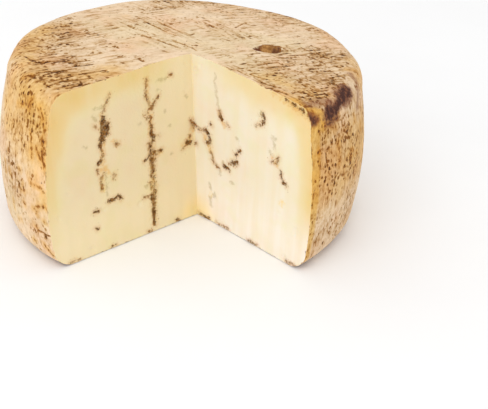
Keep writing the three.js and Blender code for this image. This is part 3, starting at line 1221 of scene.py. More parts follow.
@dataclass
class Survey:
    """What each point of the skin knows about its place, for the relief and the finishes."""

    skin: Skin
    far: float = 8.0
    line_stride: int = 3
    seam: float = math.radians(88)  # just inside the notch, where unrolling may jump
    top_blend: float = 9.0
    foot_blend: Spot = (1.0, 12.0)
    dimple_far: float = 3.0
    dimple_ends_far: float = 2.0

    def __post_init__(self) -> None:
        """Measures everything once."""
        count = len(self.skin.points)
        self.facts: dict[str, Array] = {}
        self.is_rind = np.zeros(count, bool)
        self.is_cut = np.zeros(count, bool)
        for patch in self.skin.patches:
            known = self.is_cut if patch.stretch.side else self.is_rind
            known[patch.ids] = True
        self.measure_veins()
        self.measure_paste()
        self.measure_marks()
        self.measure_layout()

    def measure_veins(self) -> None:
        """The gap to the nearest vein of each ink."""
        for ink in Ink:
            self.facts[ink.value] = np.full(len(self.skin.points), self.far)
        for patch in self.skin.patches:
            for vein in self.skin.veins:
                if vein.stretch is patch.stretch:
                    known = self.facts[vein.kind.value]
                    known[patch.ids] = np.minimum(known[patch.ids], vein.gap(patch.flat))

    def measure_paste(self) -> None:
        """The depth under the rind, how warm the paste is for it, which cut is painted in shade, and where
        painted light and glow fall.
        """
        names = ("depth", "warmth", "shaded_cut", "lit_near_knife", "corner")
        depth, warmth, shaded_cut, lit_near_knife, corner = (np.zeros(len(self.skin.points)) for _ in names)
        for patch in self.skin.patches:
            side = patch.stretch.side
            if side is None:
                continue
            across, drop = len(self.skin.tops[side].ids), len(self.skin.drops[side].ids)
            top_line = patch.outline[: across : self.line_stride]
            side_line = patch.outline[across - 1 : across + drop - 1 : self.line_stride]
            under_top, under_side = (gap_to_line(patch.flat, line) for line in (top_line, side_line))
            along, height = patch.flat.T
            # The left cut is painted in shade: darker and yellower paste
            if side is Side.LEFT:
                shaded_cut[patch.ids] = 1
            depth[patch.ids] = np.minimum(np.minimum(under_top, under_side), height)
            warmth[patch.ids] = self.warmth(side, patch.flat, under_top, under_side)
            # Painted light: the left cut is brightened near the knife line
            lit_near_knife[patch.ids] = ease(along, 34.0, 4.0)
            # Where a painted glow brightens the foot of the knife line
            corner[patch.ids] = ease(np.hypot(along, height), 20.0, 2.0)
        self.facts |= dict(zip(names, (np.maximum(depth, 0), warmth, shaded_cut, lit_near_knife, corner)))

    def warmth(self, side: Side, flat: Array, under_top: Array, under_side: Array) -> Array:
        """How warm the paste of a cut has turned, by what it is near, with painted shade and glow by the
        left cut's knife line.

        Args:
            side: Which cut. The left one gets painted shade and glow by its knife line.
            flat: The cut's points: distance from the knife line, and height.
            under_top: Their depths under the top's rind.
            under_side: Their depths under the side's rind.

        Returns:
            0 for pale paste, 1 close to the rind, and up to about 1.4 where it is deepest.
        """
        along, height = flat.T
        by_base = 0.5 * ease(height, 7.0, 0.0)
        by_side = 0.95 * ease(under_side, 15.0, 0.0)
        if side is Side.LEFT:
            by_top = 0.9 * ease(under_top, 24.0, 0.0)
            # Painted shade beside the knife line, and a painted glow in the corner at its foot
            knife_shade_and_glow = 0.5 * ease(along, 9.0, 0.0) + 0.5 * ease(np.hypot(along, height), 14.0, 2.0)
            high_up = ease(height, 36.0, 70.0)
            by_side = np.maximum(by_side, 0.7 * ease(under_side, 22.0, 4.0) * high_up)
            deep = 0.4 * ease(under_side, 15.0, 3.0) * high_up * ease(height, 98.0, 78.0)
        else:
            by_top = 0.6 * ease(under_top, 24.0, 0.0) * (0.3 + 0.7 * ease(along, 8.0, 45.0))
            knife_shade_and_glow = deep = np.zeros(len(along))
        cool = (1 - by_top) * (1 - by_side) * (1 - by_base) * (1 - np.clip(knife_shade_and_glow, 0, 1))
        return 1 - cool + deep

    def measure_marks(self) -> None:
        """The gap to narrow marks and to the bruise, and how strong each cloudy mark is."""
        points = self.skin.points
        clouds = {
            SOOT: (5.0, -2.0),
            TOAST: (14.0, -6.0),
            RUST: (16.0, -6.0),
            GOLD: (3.5, -0.5),
            HONEY: (13.0, -5.0),
            BLOOM: (14.0, -6.0),
            BARE: (3.0, -1.0),
            CROSSED: (6.0, -3.0),
        }
        for trace in Trace:
            self.facts[trace.value] = np.full(len(points), 0.0 if trace in clouds else self.far)
        rind = np.flatnonzero(self.is_rind)
        for mark in self.skin.marks:
            gap = mark.gap(points[rind])
            known = self.facts[mark.kind.value]
            if mark.kind in clouds:
                known[rind] = np.maximum(known[rind], ease(gap, *clouds[mark.kind]))
            else:
                known[rind] = np.minimum(known[rind], gap)

    def measure_layout(self) -> None:
        """The unrolled place on the side, the share of the side's finish, and the dimple."""
        skin, dimple = self.skin, self.skin.dimple
        points, run = skin.points, skin.run_down
        heading = (np.arctan2(points[:, 1], points[:, 0]) + self.seam) % (2 * math.pi) - self.seam
        self.layout = np.column_stack([heading * skin.drum.radius, run, np.zeros(len(points))])
        by_foot = ease(run, *(skin.length - blend for blend in self.foot_blend))
        top = self.is_rind & (points[:, 2] > skin.drum.rim_height - 2)
        away = (points[:, :2] - np.array(dimple.centre)) / (np.array([dimple.length, dimple.width]) / 2)
        ends = away.clip(-self.dimple_ends_far, self.dimple_ends_far)
        reach = np.where(top, dimple.reach(points), self.dimple_far).clip(0, self.dimple_far)
        self.facts["side_share"] = ease(run, 0.0, self.top_blend) * by_foot
        self.facts["dimple"] = reach
        self.facts["dimple_end"], self.facts["dimple_back"] = ends.T


@dataclass(frozen=True)
class Relief:
    """The small ups and downs of rind and paste, all of them inward from the plain form."""

    hollow: float = 0.35
    hollow_size: float = 13.0
    ridge: float = 0.3
    ridge_size: Triple = (17.0, 2.6, 30.0)
    upright_size: Triple = (2.4, 15.0, 1.0)
    pit: float = 0.5
    pit_size: float = 2.6
    crease: float = 0.55
    bruise: float = 0.5
    bruise_size: float = 2.2
    base_share: float = 0.35
    crack: float = 1.1
    crack_edge_size: float = 1.3
    crumb_size: float = 0.9
    drag: float = 0.16
    drag_size: Triple = (16.0, 16.0, 5.0)
    eye: float = 0.5
    eye_size: float = 4.1

    def bumps(self, places: Array, size: Size, seed: Seed) -> Array:
        """Soft ups and downs of a size, from 0 to 1."""
        return 0.5 - 0.5 * GrainNoise(seed).layered(places / np.array(size))

    def ridges(self, points: Array, heading: float, seed: Seed) -> Array:
        """Ridges that run along one heading of the pressing cloth, from 0 to 1."""
        flat = [points[:, :2] @ heading_step(heading + turn) for turn in (0, math.pi / 2)]
        return self.bumps(np.column_stack([*flat, points[:, 2]]), self.ridge_size, seed)

    def of_rind(self, survey: Survey) -> Array:
        """How far each rind point sinks.

        Args:
            survey: What the points know.

        Returns:
            Millimetres inward.
        """
        points, facts = survey.skin.points, survey.facts
        hollow = self.bumps(points, self.hollow_size, Seed.HOLLOWS)
        main = self.ridges(points, WEAVE_HEADINGS[0], Seed.MAIN_RIDGES)
        crossing = self.ridges(points, WEAVE_HEADINGS[1], Seed.CROSSING_RIDGES)
        crossed, share = facts[CROSSED.value], facts["side_share"]
        top = main * (1 - crossed) + crossing * crossed
        side = self.bumps(survey.layout, self.upright_size, Seed.UPRIGHT_RIDGES)
        ridge = top * (1 - share) + side * share
        pit = ease(GrainNoise(Seed.PITS).layered(points / self.pit_size), 0.38, 0.75)
        creased = ease(facts[CREASE.value], 0.45, -0.3)
        dented = ease(facts[DAB.value], 0.7, -0.7)
        lumps = 0.5 + 0.5 * GrainNoise(Seed.BRUISE).at(points / self.bruise_size)
        bruise = ease(facts[PLUM.value], 1.5, -1.5) * lumps
        sunk = self.hollow * hollow + self.ridge * ridge + self.pit * pit
        sunk += self.crease * np.maximum(creased, dented) + self.bruise * bruise
        on_base = ease(points[:, 2], 3.0, 0.2)
        return sunk * (1 - on_base * (1 - self.base_share))

    def of_paste(self, survey: Survey) -> Array:
        """How far each cut point sinks: cracks at the veins, and faint marks of the knife.

        Args:
            survey: What the points know.

        Returns:
            Millimetres inward.
        """
        points, facts = survey.skin.points, survey.facts
        rough = 0.5 * GrainNoise(Seed.VEIN_EDGES).layered(points / self.crack_edge_size)
        dark = ease(facts[DARK.value] + rough, 0.5, -0.5)
        brown = ease(facts[BROWN.value] + rough, 0.4, -0.6)
        crumbly = 0.55 + 0.45 * GrainNoise(Seed.CRUMBS).at(points / self.crumb_size)
        drag = self.bumps(points, self.drag_size, Seed.KNIFE_DRAG)
        eyes = ease(GrainNoise(Seed.EYES).at(points / self.eye_size), 0.82, 0.95)
        sunk = self.crack * crumbly * np.maximum(dark, 0.6 * brown) + self.drag * drag + self.eye * eyes
        return sunk * ease(facts["depth"], 0.4, 2.4)


def patch_normals(points: Array, faces: Array) -> Array:
    """The unit normals that a set of triangles gives their points.

    Args:
        points: An (n, 3) array.
        faces: The triangles, as an (m, 3) array of point numbers.

    Returns:
        An (n, 3) array, 0 where a point is in none of the triangles.
    """
    a, b, c = (points[faces[:, i]] for i in range(3))
    turned = np.cross(b - a, c - a)
    normals = np.zeros_like(points)
    for i in range(3):
        np.add.at(normals, faces[:, i], turned)
    return normals / np.maximum(np.linalg.norm(normals, axis=1), NO_SIZE)[:, None]


# ---- Finishes -----------------------------------------------------------------------------------


class Value:
    """A number, place or colour that a shader node works out, with sums written as usual."""

    def __init__(self, bench: "Bench", socket: bpy.types.NodeSocket) -> None:
        """Keeps the node's socket, and the bench that it stands on."""
        self.bench, self.socket = bench, socket

    def __add__(self, other: "Value | float") -> "Value":
        """The two added up."""
        return self.bench.sum("ADD", self, other)

    def __mul__(self, other: "Value | float") -> "Value":
        """The two multiplied."""
        return self.bench.sum("MULTIPLY", self, other)

    def __or__(self, other: "Value | float") -> "Value":
        """The larger of the two."""
        return self.bench.sum("MAXIMUM", self, other)

    def __and__(self, other: "Value | float") -> "Value":
        """The smaller of the two."""
        return self.bench.sum("MINIMUM", self, other)

    def moved(self, *by: float) -> "Value":
        """A place moved over by three lengths."""
        return self.bench.vector("ADD", self, by)

    def ease(self, start: float, end: float) -> "Value":
        """A smooth step, also where its end is the lower of the two.

        Args:
            start: The value that gives 0.
            end: The value that gives 1.

        Returns:
            The step, from 0 to 1.
        """
        low, high = sorted((start, end))
        rising = float(start < end)
        sockets = {"Value": self, "From Min": low, "From Max": high, "To Min": 1 - rising, "To Max": rising}
        return self.bench.work("ShaderNodeMapRange", "Result", sockets, interpolation_type="SMOOTHSTEP")

    def mixed(self, share: "Value | float", colour: object, kind: str = "MIX") -> "Value":
        """A colour with a share of another laid over it, blended in the stated way."""
        settings = {"data_type": "RGBA", "blend_type": kind, "clamp_factor": True}
        sockets = {SHARE: share, COLOUR_A: self, COLOUR_B: colour}
        return self.bench.work("ShaderNodeMix", MIXED_COLOUR, sockets, **settings)

    def tinted(self, share: "Value | float", tint: Colour) -> "Value":
        """A colour with a share of a tint soaked into it."""
        return self.mixed(share, tint, "MULTIPLY")


class Bench:
    """Where the shader nodes of one material are made and joined. Its spot is in millimetres."""

    def __init__(self, name: str) -> None:
        """Starts a material with an empty node tree.

        Args:
            name: The material's name.
        """
        self.material = bpy.data.materials.new(name)
        self.material.use_nodes = True
        self.tree = self.material.node_tree
        self.tree.nodes.clear()
        place = self.work("ShaderNodeTexCoord", "Object", {})
        self.spot = self.vector("MULTIPLY", place, (1 / MM,) * 3)

    def node(self, kind: str, sockets: dict[int | str, object], **settings: object) -> bpy.types.Node:
        """A new node.

        Args:
            kind: Its type.
            sockets: Its input sockets, each with the value or number that goes in.
            **settings: Its other settings.

        Returns:
            The node.
        """
        made = self.tree.nodes.new(kind)
        for name, value in settings.items():
            setattr(made, name, value)
        for name, value in sockets.items():
            if isinstance(value, Value):
                self.tree.links.new(value.socket, made.inputs[name])
            else:
                made.inputs[name].default_value = value
        return made

    def work(
        self, kind: str, output: int | str, sockets: dict[int | str, object], **settings: object
    ) -> Value:
        """What a new node gives at one of its outputs."""
        return Value(self, self.node(kind, sockets, **settings).outputs[output])

    def vector(self, operation: str, first: object, second: object) -> Value:
        """The outcome of a sum on places."""
        return self.work("ShaderNodeVectorMath", 0, {0: first, 1: second}, operation=operation)

    def sum(self, operation: str, *parts: object) -> Value:
        """The outcome of a sum on numbers."""
        return self.work("ShaderNodeMath", 0, dict(enumerate(parts)), operation=operation)

    def height(self) -> Value:
        """How high the spot lies."""
        return self.work("ShaderNodeSeparateXYZ", "Z", {0: self.spot})

    def fact(self, name: Enum | str) -> Value:
        """A number that the mesh's points carry."""
        known = name.value if isinstance(name, Enum) else name
        return self.work("ShaderNodeAttribute", "Fac", {}, attribute_name=known)

    def layout(self) -> Value:
        """The unrolled place on the side that the mesh's points carry."""
        return self.work("ShaderNodeAttribute", "Vector", {}, attribute_name="layout")

    def grain(
        self, size: Size, layers: float = 2.0, rough: float = 0.5, at: Value | None = None, out: str = "Fac"
    ) -> Value:
        """Cloudy noise around 0.5.

        Args:
            size: The clouds' size, or one along each axis.
            layers: How many finer layers lie over them.
            rough: How strong those are.
            at: The place, if it isn't the spot.
            out: "Fac" for one number, "Color" for three.

        Returns:
            The noise.
        """
        sizes = size if isinstance(size, tuple) else (size,) * 3
        sockets = {"Vector": self.vector("DIVIDE", at or self.spot, sizes), "Scale": 1.0}
        sockets |= {"Detail": layers, "Roughness": rough}
        return self.work("ShaderNodeTexNoise", out, sockets, noise_dimensions="3D")

    def sway(
        self, size: Size, layers: float, reach: float, rough: float = 0.5, at: Value | None = None
    ) -> Value:
        """Cloudy noise around 0, by up to about half the reach."""
        return self.sum("MULTIPLY_ADD", self.grain(size, layers, rough, at), reach, -reach / 2)

    def swirled(self, size: float, reach: float) -> Value:
        """The spot shifted by swirls of a size, by up to about half the reach."""
        centred = self.vector("SUBTRACT", self.grain(size, 1.0, out="Color"), (0.5,) * 3)
        return self.vector("ADD", self.spot, self.vector("MULTIPLY", centred, (reach,) * 3))

    def dashes(self, spot: Value, size: Triple, plenty: Value) -> Value:
        """Dashes of uneven strength, at most one in each cell of a broken lattice.

        Args:
            spot: The place, in millimetres.
            size: The cells' size along each axis.
            plenty: The share of cells whose dash shows.

        Returns:
            1 in a dark dash, less in a faint one, 0 between them.
        """
        sockets = {"Vector": self.vector("DIVIDE", spot, size), "Scale": 1.0}
        cells = self.node("ShaderNodeTexVoronoi", sockets, voronoi_dimensions="3D", feature="F1")
        drawn = self.node("ShaderNodeSeparateColor", {"Color": Value(self, cells.outputs["Color"])})
        chance, luck = (Value(self, drawn.outputs[i]) for i in range(2))
        shown = self.sum("SUBTRACT", plenty, chance).ease(0.0, 0.1)
        away = Value(self, cells.outputs["Distance"])
        body = (away + self.sway(1.1, 2.0, 0.28, at=spot)).ease(0.4, 0.26)
        return shown * body * self.between(luck, 0.45, 1.0)

    def total(self, *parts: tuple[object, float]) -> Value:
        """Values added up.

        Args:
            *parts: Each value and its weight.

        Returns:
            Their weighted sum.
        """
        kept: Value | float = 0.0
        for value, weight in parts:
            kept = self.sum("MULTIPLY_ADD", value, weight, kept)
        return kept

    def ramp(self, value: Value, stops: tuple[tuple[float, Colour], ...]) -> Value:
        """A colour picked by a value.

        Args:
            value: The value, from 0 to 1.
            stops: Places between 0 and 1, each with its colour.

        Returns:
            The colour.
        """
        made = self.node("ShaderNodeValToRGB", {"Fac": value})
        elements = made.color_ramp.elements
        while len(elements) < len(stops):
            elements.new(1.0)
        for element, (spot, colour) in zip(elements, stops):
            element.position = spot
            element.color = colour
        return Value(self, made.outputs["Color"])

    def turned(self, spot: Value, heading: float) -> Value:
        """A place turned so that a heading lies along X."""
        sockets = {"Vector": spot, "Angle": -heading}
        return self.work("ShaderNodeVectorRotate", "Vector", sockets, rotation_type="Z_AXIS")

    def plain(self, colour: Colour) -> Value:
        """A plain colour, to lay others over."""
        sockets = {SHARE: 0.0, COLOUR_A: colour, COLOUR_B: colour}
        return self.work("ShaderNodeMix", MIXED_COLOUR, sockets, data_type="RGBA")

    def between(self, share: Value, first: object, second: object) -> Value:
        """Two numbers mixed."""
        sockets = {SHARE: share, NUMBER_A: first, NUMBER_B: second}
        return self.work("ShaderNodeMix", MIXED_NUMBER, sockets, data_type="FLOAT", clamp_factor=True)

    def finish(self, colour: Value, roughness: object, height: object, **settings: object) -> None:
        """Closes the material with a surface.

        Args:
            colour: Its colour.
            roughness: Its roughness.
            height: Its finest relief, in millimetres.
            **settings: Other sockets of the shader, with underscores for spaces.
        """
        relief = {"Strength": 1.0, "Distance": MM, "Height": height}
        bump = self.work("ShaderNodeBump", "Normal", relief)
        sockets = {name.replace("_", " "): value for name, value in settings.items()}
        sockets |= {"Base Color": colour, "Roughness": roughness, "Normal": bump}
        surface = self.work("ShaderNodeBsdfPrincipled", "BSDF", sockets)
        self.node("ShaderNodeOutputMaterial", {"Surface": surface})


@dataclass(frozen=True)
class RindFinish:
    """Dry natural rind: beige and tan, with brown strokes from the cloth and dark moulds."""

    tones: tuple[tuple[float, Colour], ...] = (
        (0.0, paint(238, 212, 180)),
        (0.2, paint(228, 201, 167)),
        (0.4, paint(213, 180, 140)),
        (0.58, paint(190, 149, 99)),
        (0.76, paint(160, 114, 60)),
        (0.92, paint(134, 90, 42)),
        (1.0, paint(92, 56, 22)),
    )
    amber_tint: Colour = paint(253, 237, 193)
    gold_tint: Colour = paint(255, 242, 188)
    honey_tint: Colour = paint(250, 242, 188)
    halo_tint: Colour = paint(249, 229, 174)
    pink_tint: Colour = paint(255, 246, 241)
    bloom_tint: Colour = paint(249, 251, 245)
    speck: Colour = paint(118, 78, 44)
    plum: Colour = paint(66, 34, 28)
    dusk: Colour = paint(140, 86, 56)
    pit_floor: Colour = paint(202, 152, 90)
    pit_rim: Colour = paint(144, 94, 40)
    pit_shade: Colour = paint(116, 74, 46)
    pit_tip: Colour = paint(116, 66, 38)
    cell_depth: float = 14.0
    side_cell_depth: float = 3.0
    main_where_crossed: float = 0.25
    other_where_plain: float = 0.15
    side_width_share: float = 0.85
    side_length_share: float = 0.44
    side_plenty_share: float = 0.62
    cloth_lines: Triple = (12.0, 2.6, 14.0)
    side_lines: Triple = (2.6, 5.5, 1.0)
    line_strength: float = 0.95

    def strokes(self, bench: Bench, spot: Value, length: float, width: float, plenty: Value) -> Value:
        """Dashes along the cloth: on the top along its two headings, upright on the side.

        Args:
            bench: Where the nodes are made.
            spot: The place, in millimetres.
            length: The length of the cells that hold a dash each.
            width: Their width.
            plenty: The share of cells whose dash shows.

        Returns:
            1 in a dark dash, less in a faint one, 0 between them.
        """
        crossed = bench.fact(CROSSED)
        on_main = bench.between(crossed, 1.0, self.main_where_crossed)
        on_other = bench.between(crossed, self.other_where_plain, 1.0)
        main, other = (
            bench.dashes(bench.turned(spot, heading), (length, width, self.cell_depth), plenty * share)
            for heading, share in zip(WEAVE_HEADINGS, (on_main, on_other))
        )
        upright = (width * self.side_width_share, length * self.side_length_share, self.side_cell_depth)
        side = bench.dashes(bench.layout(), upright, plenty * self.side_plenty_share)
        return bench.between(bench.fact("side_share"), main | other, side)

    def lines(self, bench: Bench, spot: Value) -> Value:
        """Fine uneven lines along the cloth.

        Args:
            bench: Where the nodes are made.
            spot: The place, in millimetres.

        Returns:
            A value around 0, which fades where the edge rounds over.
        """
        crossed = bench.fact(CROSSED).ease(0.35, 0.65)
        along_cloth = [bench.turned(spot, heading) for heading in WEAVE_HEADINGS]
        main, other = (bench.grain(self.cloth_lines, 3.0, 0.6, turned) for turned in along_cloth)
        side = bench.grain(self.side_lines, 4.0, 0.65, bench.layout())
        share = bench.fact("side_share")
        grain = bench.between(share, bench.between(crossed, main, other), side)
        over_rim = share * bench.sum("SUBTRACT", 1.0, share)
        centred = bench.sum("MULTIPLY_ADD", grain, self.line_strength, -self.line_strength / 2)
        return centred * bench.total((1.0, 1.0), (over_rim, -2.0))

    def darkness(self, bench: Bench) -> Value:
        """How dark the rind is, by its strokes, marks and moulds.

        Args:
            bench: Where the nodes are made.

        Returns:
            0 for the palest rind, 1 for the darkest.
        """
        spot = bench.swirled(22.0, 1.8)
        share = bench.fact("side_share")
        soot, toast, bare = (bench.fact(trace) for trace in (SOOT, TOAST, BARE))

        # Strokes of the cloth, in three sizes
        clump = bench.sway(14.0, 2.0, 1.0)
        plenty = bench.total((soot, 0.21), (clump, 1.0), (toast, 0.22), (bare, -1.0))
        hatch = self.strokes(bench, spot, 20.0, 2.8, plenty + 0.64)
        long = self.strokes(bench, spot.moved(31.0, 7.0, 0.0), 18.0, 2.4, plenty + 0.38)
        short = self.strokes(bench, spot.moved(-12.0, 53.0, 5.0), 8.0, 2.2, plenty + 0.3)

        # Pinpricks of mould, in two sizes
        speckled = bench.sway(15.0, 3.0, 2.2, at=bench.spot.moved(5.0, 5.0, 61.0))
        crowd = bench.total((speckled, 1.0), (soot, 0.4), (toast, 0.2), (bare, -1.0), (share, -0.1))
        dots = bench.dashes(bench.spot, (3.4, 3.4, 3.4), crowd + 0.08)
        fine_dots = bench.dashes(bench.spot.moved(9.0, -27.0, 3.0), (2.1, 2.1, 2.6), crowd + 0.22)

        # Smears, dabs and creases, ragged at their edges
        ragged = bench.sway(2.2, 4.0, 3.8, 0.65)
        crumbly = bench.grain(2.4, 3.0, at=bench.spot.moved(3.0, 17.0, 9.0)).ease(0.38, 0.56)
        smear = (bench.fact(SMEAR) + ragged).ease(0.8, -0.7) * bench.between(crumbly, 0.35, 1.0)
        wobble = bench.sway(1.6, 2.0, 1.8)
        dab = (bench.fact(DAB) + wobble).ease(0.7, -0.5)
        crease = bench.total((bench.fact(CREASE), 1.0), (wobble, 0.65)).ease(0.55, -0.3)
        # Darker along the bottom few millimetres of the side
        foot = bench.total((bench.height(), 1.0), (ragged, 0.6)).ease(4.6, 1.0)

        dark = bench.total(
            (0.2, 1.0), (self.lines(bench, spot), 1.0), (bench.sway(2.8, 3.0, 0.8, 0.65), 1.0),
            (bench.sway(20.0, 2.0, 0.5), 1.0), (soot, 0.06), (toast, 0.13), (share, -0.02),
            (bench.fact(BLOOM), -0.04), (bare, -0.12), (hatch, 0.22), (long, 0.37), (short, 0.45),
            (dots, 0.54), (fine_dots, 0.5), (smear, 0.2), (crease, 0.48), (foot, 0.5),
        )
        uneven = bench.between(bench.grain(1.4, 2.0), 0.7, 1.1)
        return dark | (smear * 0.92 | dab) * uneven

    def bruised(self, bench: Bench, colour: Value) -> Value:
        """The bruise laid over a colour: dark at heart, dusty and broken at its edge.

        Args:
            bench: Where the nodes are made.
            colour: The rind without it.

        Returns:
            The rind with it.
        """
        broken = bench.sway(5.0, 3.0, 7.0, 0.6) + bench.sway(1.7, 3.0, 4.0, 0.6)
        halo = (bench.fact(DUSK) + broken).ease(2.6, -1.6)
        gap = bench.fact(PLUM) + broken
        colour = colour.mixed(halo * 0.6, self.dusk).mixed(gap.ease(3.4, -0.4) * 0.75, self.dusk)
        tone = bench.plain(self.plum).mixed(bench.grain(2.6, 4.0, 0.65).ease(0.46, 0.72), self.dusk)
        return colour.mixed(gap.ease(1.0, -1.8) * 0.96, tone)

    def dimpled(self, bench: Bench, colour: Value) -> Value:
        """The dimple laid over a colour: bare golden paste, brown at its rim and both its ends.

        Args:
            bench: Where the nodes are made.
            colour: The rind without it.

        Returns:
            The rind with it.
        """
        end, back = bench.fact("dimple_end"), bench.fact("dimple_back")
        rough_end = end + bench.sway(2.4, 3.0, 0.7)
        rough_back = back + bench.sway(2.0, 3.0, 0.9)
        blotches = bench.grain(1.5, 3.0, 0.6).ease(0.4, 0.62)
        shade = (rough_end + bench.sway(1.6, 3.0, 0.9)).ease(0.05, 0.42) * rough_back.ease(1.08, 0.8)
        pit = bench.plain(self.pit_floor).mixed(blotches * 0.5, self.pit_rim)
        pit = pit.mixed(rough_back.ease(0.8, 1.15), self.pit_rim).mixed(shade, self.pit_shade)
        pit = pit.mixed(rough_end.ease(0.7, 0.9), self.pit_rim)
        pit = pit.mixed(rough_end.ease(-0.3, -0.66), self.pit_tip)

        # The outline: drawn out at the back, frayed where the iron left
        reach = bench.fact("dimple") + bench.sway(2.0, 3.0, 0.36)
        drawn = back.ease(0.3, 1.0) * end.ease(-0.8, -0.1)
        frayed = bench.sway(1.7, 3.0, 2.4) * end.ease(0.4, 0.95)
        inside = bench.total((reach, 1.0), (drawn, -0.3), (frayed, 1.0)).ease(1.14, 0.96)
        return colour.mixed(inside, pit)

    def material(self) -> bpy.types.Material:
        """The finish as a material.

        Returns:
            The material.
        """
        bench = Bench("rind")
        dark = self.darkness(bench)
        colour = bench.ramp(dark, self.tones)

        # Warm, pink and bloomed places
        warm = bench.sway(9.0, 4.0, 1.5, 0.6)
        rust = bench.total((bench.fact(RUST), 0.8), (bench.fact("side_share"), 0.04), (warm, 1.0))
        halo = (bench.fact(SMEAR) + bench.sway(3.4, 4.0, 5.0, 0.62)).ease(3.4, -0.8)
        gold = bench.total((bench.fact(GOLD), 1.0), (warm, 0.5)).ease(0.1, 0.9)
        honey = bench.total((bench.fact(HONEY), 1.0), (warm, 0.6)).ease(0.1, 1.2)
        pale = (bench.fact(BLOOM) + bench.sway(8.0, 3.0, 1.8)).ease(0.3, 1.0)
        pink = bench.grain(23.0, 2.0).ease(0.45, 0.7)
        colour = colour.tinted(rust.ease(-0.1, 1.05), self.amber_tint).tinted(halo * 0.75, self.halo_tint)
        colour = colour.tinted(gold, self.gold_tint).tinted(honey * 0.6, self.honey_tint)
        colour = colour.tinted(pale, self.bloom_tint).tinted(pink, self.pink_tint)

        speck = bench.grain(1.8, 1.0).ease(0.72, 0.80)
        colour = self.bruised(bench, colour.mixed(speck * 0.7, self.speck))
        colour = self.dimpled(bench, colour)
        height = bench.total((bench.grain(0.9, 3.0), 0.2), (dark, -0.4))
        rough = bench.between(bench.grain(3.0), 0.66, 0.92)
        bench.finish(colour, rough, height, Specular_IOR_Level=0.2)
        return bench.material


